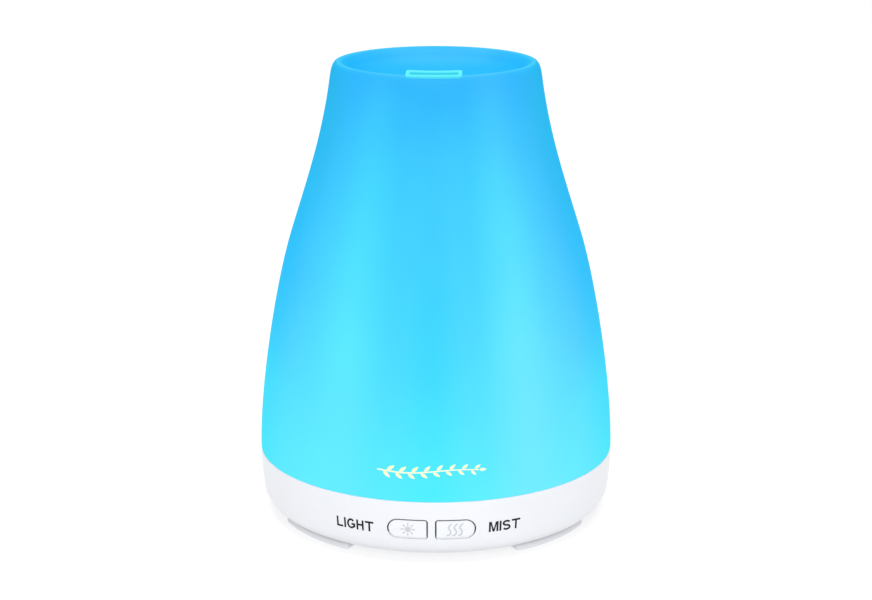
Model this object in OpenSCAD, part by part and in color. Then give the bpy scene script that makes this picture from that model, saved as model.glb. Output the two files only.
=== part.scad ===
// Essential oil diffuser: a bell-shaped light cover that lifts off a low round base.
// The base holds the water tank, the ultrasonic disc, the fan, the lights and the buttons.
// Millimetres, +Z up. The origin is the centre of the surface that the feet stand on.
// The buttons face -Y and the power inlet faces +Y.

/* [Outer shape] */
// Diameter at the seam, where the cover meets the base
seam_d = 100; // [99:0.5:101]
// Height of the seam above the table
seam_z = 18; // [17.9:0.1:18.2]
// Radius of the cover where its side changes from bulging to hollow
waist_r = 40.6; // [40.2:0.1:41]
// Height of that change above the table
waist_z = 79.3; // [78:0.1:81]
// Lean of the side there, in degrees from upright
waist_lean = 17.07; // [16:0.1:18]
// Radius of the neck, just under the rounded shoulder
neck_r = 29.1; // [28.8:0.1:29.4]
// Height of the neck above the table
neck_z = 123.2; // [122.9:0.1:123.5]
// Lean of the side at the neck, in degrees from upright
neck_lean = 7.8; // [7:0.1:8.5]
// Radius of the highest circle of the rim
ridge_r = 26.9; // [26.7:0.1:27.1]
// Height of the rim above the table
ridge_z = 127.6; // [127.4:0.1:127.8]
// Depth of the dish in the top, below the rim
dish_depth = 7; // [6:0.5:8]

/* [Walls] */
// Wall thickness of the cover
cover_wall = 1.8; // [1.6:0.1:2]
// Wall thickness of the base shell
base_wall = 2; // [1.8:0.1:2.1]
// Wall thickness of the water tank
tank_wall = 1.8; // [1.6:0.1:2]
// Size of the small bevel on both sides of the seam
seam_bevel = 0.25; // [0.1:0.05:0.4]

/* [Mist outlet] */
// Half width of the outlet frame
outlet_half = 7.45; // [7:0.05:7.8]
// Front edge of the frame, as a radius about the middle
outlet_front_r = 28; // [27.8:0.1:28.1]
// Rear edge of the frame, as a radius about the middle
outlet_back_r = 18.8; // [18.2:0.1:19.2]
// Half width of the slot
slot_half = 6.4; // [6:0.1:6.6]
// Front edge of the slot
slot_front_r = 26; // [25.6:0.1:26.2]
// Rear edge of the slot
slot_back_r = 21.3; // [20.8:0.1:21.8]
// How far the frame stands above the rim
outlet_proud = 0.1; // [0.1:0.1:0.4]

/* [Base] */
// Radius of the long, slow curve of the base's side
side_bow_r = 90; // [85:1:95]
// Turn of that curve, in degrees
side_turn = 6.875; // [6.5:0.1:7.2]
// Radius of the round lower corner
corner_r = 6.65; // [6.5:0.05:6.8]
// Radius of the opening that the bottom cover closes
bottom_opening_r = 39; // [38.8:0.1:39.2]

/* [Feet] */
// Outer radius of the ring of feet
foot_outer_r = 45.7; // [45.2:0.1:46]
// Inner radius of the ring of feet
foot_inner_r = 41; // [40.5:0.1:41.5]
// Arc that one foot covers, in degrees
foot_arc = 35; // [30:1:40]
// Angle of the front feet, in degrees either side of straight ahead
foot_angle = 47.5; // [45:0.5:50]

/* [Buttons] */
// Width of one button
button_w = 10.3; // [10.1:0.1:10.5]
// Height of one button
button_h = 5.1; // [5:0.1:5.3]
// Distance between the two buttons
button_gap = 2.5; // [2.4:0.1:2.7]
// Height of the buttons' middle above the table
button_z = 10.15; // [10.05:0.05:10.3]
// Gap round a button
button_clear = 0.3; // [0.25:0.05:0.35]
// Distance that a button travels when it is pressed
button_travel = 0.5; // [0.3:0.1:0.6]

/* [Tank] */
// Height of the tank's floor above the table
tank_floor_z = 32; // [31.9:0.1:32.2]
// Height of the tank's rim above the table
tank_rim_z = 58; // [56:0.5:59]
// Height of the fill line, which gives about 100 ml
fill_line_z = 51; // [48:0.5:53]
// Outer radius of the tank at its foot
tank_foot_r = 45; // [44.8:0.1:45.1]
// Outer radius of the tank at its rim
tank_rim_r = 42.6; // [42:0.1:42.8]

/* [Fan] */
// Side of the square fan frame
fan_w = 30; // [29:0.5:30]
// Height of the fan frame
fan_h = 8; // [7.5:0.5:8]
// Number of fan blades
fan_blades = 7; // [5:1:9]

/* [Power inlet] */
// Height of the inlet's axis above the table
inlet_z = 9.5; // [9:0.1:10]
// Diameter of the inlet's centre pin
inlet_pin_d = 2; // [1.9:0.05:2.1]
// Diameter of the inlet's barrel
inlet_bore_d = 6; // [5.8:0.1:6.2]

/* [Hidden] */
$fn = 96;
eps = 0.01;
curve_steps = 14;
seam_r = seam_d / 2;

// The cover's side is two joined curves. Each handle is the length of a curve's control arm.
belly_handle = 17.7;
waist_handle_low = 14.7;
waist_handle_high = 13.5;
neck_handle = 17.1;
shoulder_handle = 3.2;
shoulder_reach = 1.1;
waist = [waist_r, waist_z];
waist_dir = [-sin(waist_lean), cos(waist_lean)];
neck = [neck_r, neck_z];
neck_dir = [-sin(neck_lean), cos(neck_lean)];
ridge = [ridge_r, ridge_z];
dish_edge = [ridge_r - 3.5, ridge_z - 2.2];
dish_floor_z = ridge_z - dish_depth;
cover_in_r = seam_r - cover_wall;
crown_z = dish_floor_z - cover_wall - 0.8;

// Mist path
outlet_top_z = ridge_z + outlet_proud;
outlet_foot_z = dish_floor_z - 2;
chimney_foot_z = 68;
chimney_wall = 1.2;
chimney_top_y = -22.9;
chimney_top_l = 8.1;

// Base shell
corner_mid = [
    seam_r - side_bow_r + (side_bow_r - corner_r) * cos(side_turn),
    seam_z - (side_bow_r - corner_r) * sin(side_turn)
];
under_z = corner_mid[1] - corner_r;
shelf_z = 16;
shelf_r = 45.2;
gasket_h = 0.6;
flange_z = shelf_z + gasket_h;
flange_r = 47.6;
locating_top_z = 21;

// Bottom cover
plate_gap = 0.2;
plate_z = under_z + 1.2;
plate_top_z = under_z + 2;
plate_step = 3;
post_ring_r = 32;
post_r = 3.2;
post_meet_z = 14;
post_angles = [45, 135, 225, 315];
long_screw_r = 1.25;
long_screw_head_r = 2.8;
long_screw_top_z = 24;

// Ultrasonic disc stack, from the tank's floor down
disc_r = 10;
disc_h = 0.8;
disc_window_r = 8.5;
seal_r = 12;
seal_h = 3;
seal_z = tank_floor_z - 3.5;
retainer_r = 16.8;
retainer_h = 1.6;
retainer_screw_ring_r = 14.5;
retainer_screw_r = 1.1;
tank_under_z = tank_floor_z - tank_wall;
tank_fillet = 2;

// Light ring
led_ring_in = 17.8;
led_ring_out = 24.2;
led_ring_mid = 21;
led_board_h = 1.2;
led_post_h = 2;
led_board_z = tank_under_z - led_post_h - led_board_h;
led_count = 6;
led_screw_r = 0.9;

// Fan, its duct and the air column in the tank
fan_x = 17;
fan_z = 4.6;
fan_hole_r = 13.8;
fan_hub_r = 6;
fan_screw_pitch = 12.2;
fan_screw_r = 1.1;
fan_shaft_r = 1;
bearing_fit = 0.03;
duct_flange_h = 1.2;
duct_bend_z = 24;
column_x = 31;
column_w = 12;
column_l = 16;
column_wall = 1.2;
column_top_z = 56;
cap_wall = 0.8;
cap_top_z = 61;

// Circuit board
board_x = -20;
board_w = 30;
board_l = 38;
board_h = 1.6;
board_z = 8;
board_hole_x = 10;
board_hole_y = 14;
screw_r = 1.1;
screw_head_r = 2.1;
screw_head_h = 1.3;

// Buttons and their switches
button_x = (button_gap + button_w) / 2;
button_set_back = 0.15;
flange_gap = 0.3;
flange_t = 1;
flange_grow = 0.6;
plunger_r = 1.3;
stem_r = 1.7;
stem_clear = 0.1;
stem_front_y = -43;
stem_l = 3;
switch_front_y = -42;
switch_w = 6;
switch_d = 3.8;
switch_spare = 0.5;
switch_bore_l = stem_l + stem_front_y - switch_front_y + button_travel + switch_spare;
button_board_y = switch_front_y + switch_d;
button_board_h = 1.2;
button_board_w = 30;
button_board_low_z = 4.6;
button_board_top_z = 14;
button_screw_x = 12.6;
button_screw_z = 6.8;
bracket_w = 3.6;

// Power inlet
inlet_front_y = 48.4;
inlet_back_y = 35;
inlet_nose_r = 4.6;
inlet_nose_l = 4;
inlet_w = 9.6;
inlet_pin_front_y = 47;
inlet_bore_l = 11;
inlet_bore_end_y = inlet_front_y - inlet_bore_l;
inlet_pin_root_r = inlet_pin_d / 2 + 0.3;
cheek_t = 1.4;

// Leads
lead_r = 0.55;
lead_sides = 8;
lead_spread = 1.5;

// ---------------------------------------------------------------- curves and outlines

function bezier(p, t) =
    p[0] * pow(1 - t, 3) + 3 * p[1] * t * pow(1 - t, 2)
    + 3 * p[2] * t * t * (1 - t) + p[3] * pow(t, 3);

function slope(p, t) =
    (p[1] - p[0]) * pow(1 - t, 2) + 2 * (p[2] - p[1]) * t * (1 - t) + (p[3] - p[2]) * t * t;

// Unit vector to the left of a direction of travel
function left_of(v) = [-v[1], v[0]] / norm(v);

// Points along a curve, moved to the left of it by inset
function curve(p, inset, steps) =
    [for (i = [0 : steps]) let (t = i / steps) bezier(p, t) + inset * left_of(slope(p, t))];

belly_curve = [
    [seam_r, seam_z], [seam_r, seam_z + belly_handle],
    waist - waist_handle_low * waist_dir, waist
];
hollow_curve = [
    waist, waist + waist_handle_high * waist_dir, neck - neck_handle * neck_dir, neck
];
shoulder_curve = [
    neck, neck + shoulder_handle * neck_dir, ridge + [shoulder_reach, 0], ridge
];
lip_curve = [ridge, ridge - [1.3, 0], dish_edge + [1, 1.15], dish_edge];
dish_curve = [
    dish_edge, dish_edge - [4, 3.6], [10, dish_floor_z], [0, dish_floor_z]
];

// Side of the base from the seam to the underside, moved inward by inset
function base_side(inset) = concat(
    [for (i = [0 : 6]) let (a = -side_turn * i / 6)
        [seam_r - side_bow_r, seam_z] + (side_bow_r - inset) * [cos(a), sin(a)]],
    [for (i = [1 : 14]) let (a = -side_turn - (90 - side_turn) * i / 14)
        corner_mid + (corner_r - inset) * [cos(a), sin(a)]]
);

// The base's section down to its underside, closed on the axis
module base_section(inset, top_z) {
    polygon(concat(
        [[0, top_z], [seam_r - inset, top_z]],
        base_side(inset),
        [[0, under_z + inset]]
    ));
}

module ring(outer_r, inner_r, h) {
    difference() {
        cylinder(r = outer_r, h = h);
        translate([0, 0, -1]) cylinder(r = inner_r, h = h + 2);
    }
}

// A flat rectangle with round corners, from its middle
module rounded_rect(w, l, r) {
    square([w - 2 * r, l], center = true);
    square([w, l - 2 * r], center = true);
    for (sx = [-1, 1], sy = [-1, 1])
        translate([sx * (w / 2 - r), sy * (l / 2 - r)]) circle(r = r);
}

module rounded_block(w, l, h, r) {
    linear_extrude(height = h) rounded_rect(w, l, r);
}

// A screw that points up, with its head below z = 0
module screw_up(r, l, head_r, head_h) {
    cylinder(r = r, h = l);
    translate([0, 0, -head_h])
    difference() {
        cylinder(r = head_r, h = head_h);
        for (a = [0, 90])
            rotate([0, 0, a]) cube([head_r * 1.2, head_r * 0.25, head_h], center = true);
    }
}

module screw_down(r, l, head_r, head_h) {
    mirror([0, 0, 1]) screw_up(r, l, head_r, head_h);
}

module at_angles(angles, r) {
    for (a = angles) rotate([0, 0, a]) translate([r, 0, 0]) children();
}

// ---------------------------------------------------------------- cover

cover_outside = concat(
    [[cover_in_r, seam_z], [seam_r - seam_bevel, seam_z], [seam_r, seam_z + seam_bevel]],
    [for (p = curve(belly_curve, 0, curve_steps)) if (p[1] > seam_z + 1) p],
    [for (p = curve(hollow_curve, 0, curve_steps)) if (p[1] > waist_z + 1) p],
    [for (p = curve(shoulder_curve, 0, 8)) if (p[1] > neck_z + 0.2) p],
    [for (p = curve(lip_curve, 0, 6)) if (p[0] < ridge_r - 0.1) p],
    [for (p = curve(dish_curve, 0, curve_steps)) if (p[0] < dish_edge[0] - 0.2) p]
);
cover_inside = concat(
    [[0, seam_z - 1], [cover_in_r, seam_z - 1], [cover_in_r, seam_z + 0.5]],
    [for (p = curve(belly_curve, cover_wall, curve_steps)) if (p[1] > seam_z + 1) p],
    [for (p = curve(hollow_curve, cover_wall, curve_steps)) if (p[1] > waist_z + 1) p],
    [for (p = curve(dish_curve, cover_wall, curve_steps)) p]
);

// Region between two radii at the front, within a half width
module front_sector(outer_r, inner_r, half_w) {
    intersection() {
        difference() {
            circle(r = outer_r);
            circle(r = inner_r);
        }
        translate([-half_w, -outer_r - 1]) square([2 * half_w, outer_r + 1]);
    }
}

// The cover's section between two heights
module cover_section(low_z, high_z) {
    intersection() {
        difference() {
            polygon(concat([[0, seam_z]], cover_outside));
            polygon(cover_inside);
        }
        translate([0, low_z]) square([seam_r + 1, high_z - low_z]);
    }
}

// The side of the cover. The real cover is one moulding, from the seam to the dish.
module top_cover() {
    color("deepskyblue")
    rotate_extrude() cover_section(seam_z - 1, crown_z);
}

// The shoulder, the rim and the dish, which go on from the side
module cover_crown() {
    color("deepskyblue")
    difference() {
        rotate_extrude() cover_section(crown_z, ridge_z + 1);
        translate([0, 0, outlet_foot_z - 2])
            linear_extrude(height = 20)
                front_sector(outlet_front_r, outlet_back_r, outlet_half);
    }
}

module mist_nozzle() {
    color("paleturquoise")
    translate([0, 0, outlet_foot_z])
        linear_extrude(height = outlet_top_z - outlet_foot_z)
            difference() {
                front_sector(outlet_front_r, outlet_back_r, outlet_half);
                front_sector(slot_front_r, slot_back_r, slot_half);
            }
}

// Funnel under the outlet, narrow at the top and wide over the tank
module chimney_form(inset, over) {
    hull() {
        translate([0, chimney_top_y, outlet_foot_z - 1])
            linear_extrude(height = 1 + over)
                rounded_rect(
                    2 * (outlet_half - inset), chimney_top_l - 2 * inset, 1.5, $fn = 32
                );
        translate([0, -14, chimney_foot_z - over])
            linear_extrude(height = 1)
                rounded_rect(28 - 2 * inset, 26 - 2 * inset, 6, $fn = 32);
    }
}

module mist_chimney() {
    color("skyblue")
    difference() {
        chimney_form(0, 0);
        chimney_form(chimney_wall, 0.5);
    }
}

// ---------------------------------------------------------------- tank

function tank_r(z) =
    tank_foot_r + (tank_rim_r - tank_foot_r) * (z - flange_z) / (tank_rim_z - flange_z);

// Inner radius of the tank's wall at a height
function tank_in_r(z) = tank_r(z) - tank_wall;

module tank_wall_section() {
    fillet_z = tank_floor_z + tank_fillet;
    fillet_mid = [tank_in_r(fillet_z) - tank_fillet, fillet_z];
    polygon(concat(
        // Foot, flange, locating ring and rim
        [
            [tank_in_r(flange_z), flange_z], [flange_r, flange_z],
            [flange_r, locating_top_z], [flange_r - 1.4, locating_top_z],
            [flange_r - 1.4, flange_z + 2], [tank_r(flange_z + 2), flange_z + 2],
            [tank_rim_r, tank_rim_z], [tank_rim_r - tank_wall, tank_rim_z]
        ],
        // Raised fill line
        [
            [tank_in_r(fill_line_z + 0.4), fill_line_z + 0.4],
            [tank_in_r(fill_line_z) - 0.5, fill_line_z],
            [tank_in_r(fill_line_z - 0.4), fill_line_z - 0.4]
        ],
        // Round corner above the floor
        [for (a = [0 : 15 : 90]) fillet_mid + tank_fillet * [cos(a), -sin(a)]],
        [[tank_in_r(tank_floor_z), tank_floor_z]]
    ));
}

module tank_floor_section() {
    // Floor, out to the wall
    polygon([
        [seal_r, tank_under_z], [tank_in_r(tank_under_z), tank_under_z],
        [tank_in_r(tank_floor_z), tank_floor_z], [seal_r, tank_floor_z]
    ]);
    // Lip over the disc's seal, and the thicker seat round it
    translate([disc_window_r, seal_z + seal_h])
        square([retainer_r - disc_window_r, tank_floor_z - seal_z - seal_h]);
    translate([seal_r, seal_z])
        square([retainer_r - seal_r, tank_floor_z - seal_z]);
}

// Wall of the tank. The real tank is one moulding of wall, floor, air column and posts.
module water_tank() {
    color("ghostwhite")
    rotate_extrude() tank_wall_section();
}

module tank_floor() {
    color("ghostwhite")
    difference() {
        rotate_extrude() tank_floor_section();
        translate([column_x, 0, tank_under_z - 1]) rounded_block(column_w, column_l, 5, 2);
        at_angles([90, 210, 330], retainer_screw_ring_r)
            translate([0, 0, seal_z - 1]) cylinder(r = retainer_screw_r, h = 3.4);
        at_angles([30, 150, 270], led_ring_mid)
            translate([0, 0, tank_under_z - 1]) cylinder(r = led_screw_r, h = 1.8);
    }
}

// Upright duct that takes the fan's air through the tank
module air_column() {
    color("ghostwhite")
    translate([column_x, 0, tank_under_z])
    difference() {
        rounded_block(column_w, column_l, column_top_z - tank_under_z, 2);
        translate([0, 0, -1])
            rounded_block(column_w - 2 * column_wall, column_l - 2 * column_wall, 40, 1);
    }
}

// Posts under the tank's floor: four for the long screws, three for the lamp board
module tank_posts() {
    color("ghostwhite")
    difference() {
        union() {
            at_angles(post_angles, post_ring_r)
                translate([0, 0, post_meet_z])
                    cylinder(r = post_r, h = tank_under_z - post_meet_z);
            at_angles([30, 150, 270], led_ring_mid)
                translate([0, 0, tank_under_z - led_post_h]) cylinder(r = 2, h = led_post_h);
        }
        at_angles(post_angles, post_ring_r)
            translate([0, 0, post_meet_z - 1])
                cylinder(r = long_screw_r, h = long_screw_top_z - post_meet_z + 1);
        at_angles([30, 150, 270], led_ring_mid)
            translate([0, 0, tank_under_z - led_post_h - 1])
                cylinder(r = led_screw_r, h = led_post_h + 2);
    }
}

module tank_gasket() {
    color("gainsboro")
    translate([0, 0, shelf_z]) ring(flange_r - 0.4, shelf_r + 0.4, gasket_h);
}

// Hood on the air column: it lets air out sideways and keeps water from running in
module air_column_cap() {
    cap_w = column_w + 2 * cap_wall;
    cap_l = column_l + 2 * cap_wall;
    color("whitesmoke")
    translate([column_x, 0, column_top_z])
    difference() {
        translate([0, 0, -3]) rounded_block(cap_w, cap_l, cap_top_z - column_top_z + 3, 2.6);
        translate([0, 0, -4]) rounded_block(column_w, column_l, 4, 2);
        translate([0, 0, -1])
            rounded_block(column_w - 1, column_l - 1, cap_top_z - column_top_z, 1.5);
        translate([-column_w, -column_l / 2 + 2, 0.8]) cube([column_w, column_l - 4, 2.4]);
    }
}

// ---------------------------------------------------------------- ultrasonic disc

module ultrasonic_disc() {
    color("lightgray")
    translate([0, 0, seal_z + 1.1]) {
        cylinder(r = disc_r, h = disc_h);
        translate([0, 0, -0.6]) cylinder(r = 6.5, h = 0.6 + eps);
    }
}

module disc_seal() {
    color("darkgray")
    rotate_extrude() difference() {
        translate([disc_window_r, seal_z]) square([seal_r - disc_window_r, seal_h]);
        translate([disc_window_r - 1, seal_z + 1.1]) square([disc_r - disc_window_r + 1, disc_h]);
    }
}

module disc_retainer() {
    color("silver")
    translate([0, 0, seal_z - retainer_h])
    difference() {
        ring(retainer_r, disc_window_r - 0.5, retainer_h);
        at_angles([90, 210, 330], retainer_screw_ring_r)
            translate([0, 0, -1]) cylinder(r = retainer_screw_r, h = retainer_h + 2);
    }
}

module retainer_screws() {
    color("dimgray")
    at_angles([90, 210, 330], retainer_screw_ring_r)
        translate([0, 0, seal_z - retainer_h]) screw_up(retainer_screw_r, 3.8, 1.9, 1.2);
}

// ---------------------------------------------------------------- lights

module led_board() {
    color("white")
    difference() {
        translate([0, 0, led_board_z]) ring(led_ring_out, led_ring_in, led_board_h);
        at_angles([30, 150, 270], led_ring_mid)
            translate([0, 0, led_board_z - 1]) cylinder(r = led_screw_r, h = led_board_h + 2);
    }
}

module leds() {
    for (i = [0 : led_count - 1])
        color(i % 2 == 0 ? "lightyellow" : "ivory")
        rotate([0, 0, i * 360 / led_count])
            translate([led_ring_mid, 0, led_board_z + led_board_h]) {
                rounded_block(2.8, 3.5, 0.8, 0.3);
                translate([0, 0, 0.8 - eps]) cylinder(r = 1.1, h = 0.3);
            }
}

module led_board_screws() {
    color("dimgray")
    at_angles([30, 150, 270], led_ring_mid)
        translate([0, 0, led_board_z]) screw_up(led_screw_r, 3.6, 1.6, 1);
}

// ---------------------------------------------------------------- base shell

// Outline of the left button, seen from the front: round outside end, squarer inside end
module button_outline(grow) {
    end_r = button_h / 2 + grow;
    inner_x = -button_gap / 2 + grow;
    outer_x = -button_gap / 2 - button_w - grow;
    nick_r = 0.5 + grow;
    translate([outer_x + end_r, 0]) circle(r = end_r);
    translate([outer_x + end_r, -end_r])
        square([inner_x - nick_r - outer_x - end_r, 2 * end_r]);
    translate([inner_x - nick_r - eps, -end_r + nick_r])
        square([nick_r + eps, 2 * (end_r - nick_r)]);
    for (s = [-1, 1])
        translate([inner_x - nick_r, s * (end_r - nick_r)]) circle(r = nick_r);
}

// The button outline as a bar that runs along Y at the front; side is -1 left, 1 right
module button_bar(side, grow) {
    translate([0, -40, button_z])
        rotate([90, 0, 0])
            linear_extrude(height = 14)
                if (side < 0) button_outline(grow);
                else mirror([1, 0]) button_outline(grow);
}

module shell_section() {
    difference() {
        base_section(0, seam_z);
        base_section(base_wall, seam_z + 1);
        translate([-1, -1]) square([bottom_opening_r - plate_step + 1, under_z + 6]);
        translate([-1, -1]) square([bottom_opening_r + 1, plate_z + 1]);
        translate([seam_r, seam_z]) circle(r = seam_bevel);
    }
    // Shelf that carries the tank
    polygon([
        [seam_r - 1.2, shelf_z - 1.9], [shelf_r, shelf_z - 1.1],
        [shelf_r, shelf_z], [seam_r - 1.2, shelf_z]
    ]);
}

module base_shell() {
    color("white")
    difference() {
        union() {
            rotate_extrude() shell_section();
            // Cheeks that hold the power inlet
            intersection() {
                for (s = [-1, 1])
                    translate([
                        s * (inlet_w + cheek_t) / 2 - cheek_t / 2, 38, under_z + 1.5
                    ])
                        cube([cheek_t, 10, 12]);
                rotate_extrude() base_section(base_wall / 2, shelf_z - 1);
            }
        }
        for (side = [-1, 1]) button_bar(side, button_clear);
        translate([0, 40, inlet_z]) rotate([-90, 0, 0]) cylinder(r = inlet_nose_r, h = 15);
    }
}

// ---------------------------------------------------------------- bottom cover and feet

fan_screw_spots = [for (sx = [-1, 1], sy = [-1, 1])
    [fan_x + sx * fan_screw_pitch, sy * fan_screw_pitch]];
board_screw_spots = [for (sx = [-1, 1], sy = [-1, 1])
    [board_x + sx * board_hole_x, sy * board_hole_y]];

module bottom_cover() {
    color("whitesmoke")
    difference() {
        union() {
            translate([0, 0, under_z])
                cylinder(r = bottom_opening_r - plate_gap, h = plate_z - under_z);
            translate([0, 0, under_z])
                cylinder(
                    r = bottom_opening_r - plate_step - plate_gap, h = plate_top_z - under_z
                );
            at_angles(post_angles, post_ring_r)
                translate([0, 0, plate_z]) cylinder(r = post_r, h = post_meet_z - plate_z);
            for (p = board_screw_spots)
                translate([p[0], p[1], plate_z]) cylinder(r = 2.5, h = board_z - plate_z);
            for (p = fan_screw_spots)
                translate([p[0], p[1], plate_z]) cylinder(r = 2.2, h = fan_z - plate_z);
            for (s = [-1, 1])
                translate([s * button_screw_x - bracket_w / 2, 0, 0]) button_bracket();
        }
        // Recess for each long screw's head, and its hole
        at_angles(post_angles, post_ring_r)
            translate([0, 0, under_z - 1]) cylinder(r = long_screw_head_r, h = 3.4);
        at_angles(post_angles, post_ring_r)
            translate([0, 0, under_z]) cylinder(r = long_screw_r, h = post_meet_z);
        for (p = board_screw_spots)
            translate([p[0], p[1], under_z + 1.2]) cylinder(r = screw_r, h = board_z);
        for (p = fan_screw_spots)
            translate([p[0], p[1], under_z + 0.8]) cylinder(r = fan_screw_r, h = fan_z);
        for (s = [-1, 1])
            translate([s * button_screw_x, button_board_y, button_screw_z])
                rotate([-90, 0, 0]) cylinder(r = screw_r, h = 5);
        translate([fan_x, 0, under_z - 1]) linear_extrude(height = 5) intake_slots();
    }
}

// Upright that holds one end of the button board, with its foot on the plate
module button_bracket() {
    board_back = button_board_y + button_board_h;
    translate([0, board_back, under_z + 3]) cube([bracket_w, 7.4, button_board_top_z - under_z - 3]);
    translate([0, board_back + 4.6, plate_z]) cube([bracket_w, 2.8, 4]);
}

// Air intake under the fan: ring slots, crossed by three bars
module intake_slots() {
    difference() {
        for (r = [3 : 3 : 12])
            difference() {
                circle(r = r + 1.5);
                circle(r = r);
            }
        for (a = [0 : 60 : 120])
            rotate([0, 0, a]) square([30, 1.6], center = true);
    }
}

module foot_pads() {
    for (a = [-foot_angle, foot_angle, 180 - foot_angle, 180 + foot_angle])
        color("gainsboro")
        rotate([0, 0, a - 90 - foot_arc / 2])
            rotate_extrude(angle = foot_arc)
                difference() {
                    translate([foot_inner_r, 0])
                        square([foot_outer_r - foot_inner_r, under_z + 2]);
                    base_section(0, seam_z);
                    translate([foot_outer_r + 0.1, -0.1]) circle(r = 0.6);
                }
}

module bottom_screws() {
    color("dimgray")
    at_angles(post_angles, post_ring_r)
        translate([0, 0, under_z + 2.4])
            screw_up(long_screw_r, long_screw_top_z - under_z - 2.4, 2.6, 1.6);
}

// ---------------------------------------------------------------- fan

module fan_frame() {
    color("dimgray")
    translate([fan_x, 0, fan_z])
    difference() {
        union() {
            difference() {
                rounded_block(fan_w, fan_w, fan_h, 2);
                translate([0, 0, -1]) cylinder(r = fan_hole_r, h = fan_h + 2);
            }
            // Motor seat on four struts
            cylinder(r = fan_hub_r, h = 1.6);
            for (a = [45 : 90 : 315])
                rotate([0, 0, a]) translate([0, -0.8, 0]) cube([fan_hole_r + 1, 1.6, 1.4]);
            cylinder(r = 2.2, h = 5.2);
        }
        translate([0, 0, 0.8]) cylinder(r = fan_shaft_r + bearing_fit, h = fan_h);
        for (sx = [-1, 1], sy = [-1, 1])
            translate([sx * fan_screw_pitch, sy * fan_screw_pitch, -1])
                cylinder(r = fan_screw_r, h = fan_h + 2);
    }
}

module fan_rotor() {
    blade_low = 2.2;
    blade_top = fan_h - 0.6;
    color("darkslategray")
    translate([fan_x, 0, fan_z]) {
        // Hub, a cup turned over on the bearing tube
        difference() {
            translate([0, 0, blade_low]) cylinder(r = fan_hub_r, h = blade_top - blade_low);
            translate([0, 0, blade_low - 1]) cylinder(r = 2.7, h = 4.2);
        }
        translate([0, 0, 1.2]) cylinder(r = fan_shaft_r, h = 5);
        intersection() {
            for (k = [0 : fan_blades - 1])
                rotate([0, 0, k * 360 / fan_blades])
                    translate([fan_hub_r - 0.5, 0, (blade_low + blade_top) / 2])
                        rotate([38, 0, 0])
                            translate([0, -4.4, -0.4]) cube([9, 8.8, 0.8]);
            translate([0, 0, blade_low])
                ring(fan_hole_r - 0.6, fan_hub_r - 0.4, blade_top - blade_low);
        }
    }
}

module fan_screws() {
    color("silver")
    for (p = fan_screw_spots)
        translate([p[0], p[1], fan_z + fan_h + duct_flange_h])
            screw_down(fan_screw_r, fan_h + duct_flange_h + 1.4, 1.9, 1.2);
}

// Air duct: a flange on the fan, a slanting funnel and an upright neck to the tank
module duct_form(inset, over) {
    flange_top = fan_z + fan_h;
    hull() {
        translate([fan_x, 0, flange_top - over])
            cylinder(r = fan_hole_r + 0.9 - inset, h = 0.8, $fn = 40);
        translate([column_x, 0, duct_bend_z])
            linear_extrude(height = 0.5)
                rounded_rect(column_w - 0.8 - 2 * inset, column_l - 2 * inset, 1.5, $fn = 24);
    }
    translate([column_x, 0, duct_bend_z])
        linear_extrude(height = tank_under_z - duct_bend_z + over)
            rounded_rect(column_w - 0.8 - 2 * inset, column_l - 2 * inset, 1.5, $fn = 24);
}

module air_duct() {
    color("lightsteelblue")
    difference() {
        union() {
            duct_form(0, 0);
            translate([fan_x, 0, fan_z + fan_h])
                rounded_block(fan_w, fan_w, duct_flange_h, 2);
        }
        duct_form(1, 0.5);
        // Room round each screw's head where the funnel rises beside it
        for (p = fan_screw_spots)
            translate([p[0], p[1], fan_z + fan_h + duct_flange_h])
                cylinder(r = 2.1, h = 3);
        for (p = fan_screw_spots)
            translate([p[0], p[1], fan_z + fan_h - 1])
                cylinder(r = fan_screw_r, h = 4);
    }
}

// ---------------------------------------------------------------- circuit board

module driver_board() {
    color("darkgreen")
    translate([0, 0, board_z])
    difference() {
        translate([board_x, 0, 0]) rounded_block(board_w, board_l, board_h, 2);
        for (p = board_screw_spots)
            translate([p[0], p[1], -1]) cylinder(r = screw_r, h = board_h + 2);
    }
}

board_top_z = board_z + board_h;

module power_inductor() {
    color("saddlebrown")
    translate([-12, 6, board_top_z]) {
        cylinder(r = 4.5, h = 1);
        cylinder(r = 3.2, h = 7);
        translate([0, 0, 6]) cylinder(r = 4.5, h = 1);
    }
}

// Each capacitor is its place, its radius and its height
capacitor_list = [[-12, -5, 3.15, 11], [-19, -9, 2.5, 9], [-7.5, -9.5, 2, 7]];

module capacitors() {
    color("midnightblue")
    for (c = capacitor_list)
        translate([c[0], c[1], board_top_z]) {
            cylinder(r = c[2], h = c[3] - 0.6);
            cylinder(r = c[2] - 0.4, h = c[3]);
        }
}

module controller_chip() {
    color("black")
    translate([-24, -3, board_top_z]) {
        translate([0, 0, 0.2]) rounded_block(4, 8.6, 1.5, 0.2);
        for (s = [-1, 1], i = [-3 : 3])
            translate([s * 2.4 - 0.6, i * 1.2 - 0.2, 0]) cube([1.2, 0.4, 0.9]);
    }
}

module power_transistor() {
    color("black")
    translate([-25, 9, board_top_z]) {
        rounded_block(6.5, 6, 2.3, 0.3);
        for (i = [-1 : 1])
            translate([i * 2.2 - 0.4, -5, 0]) cube([0.8, 2.5, 0.6]);
    }
}

module heat_sink() {
    color("silver")
    translate([-25.3, 9, board_top_z + 2.3]) {
        rounded_block(9, 9, 1.2, 0.3);
        for (i = [-2 : 2])
            translate([i * 2 - 0.4, -4.5, 1]) cube([0.8, 9, 5]);
    }
}

// Each connector is its place and its turn in degrees
connector_list = [[-17.5, 16, 90], [-30, -8, 0], [-18.6, 2, 0], [-17, -16, 90]];

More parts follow.
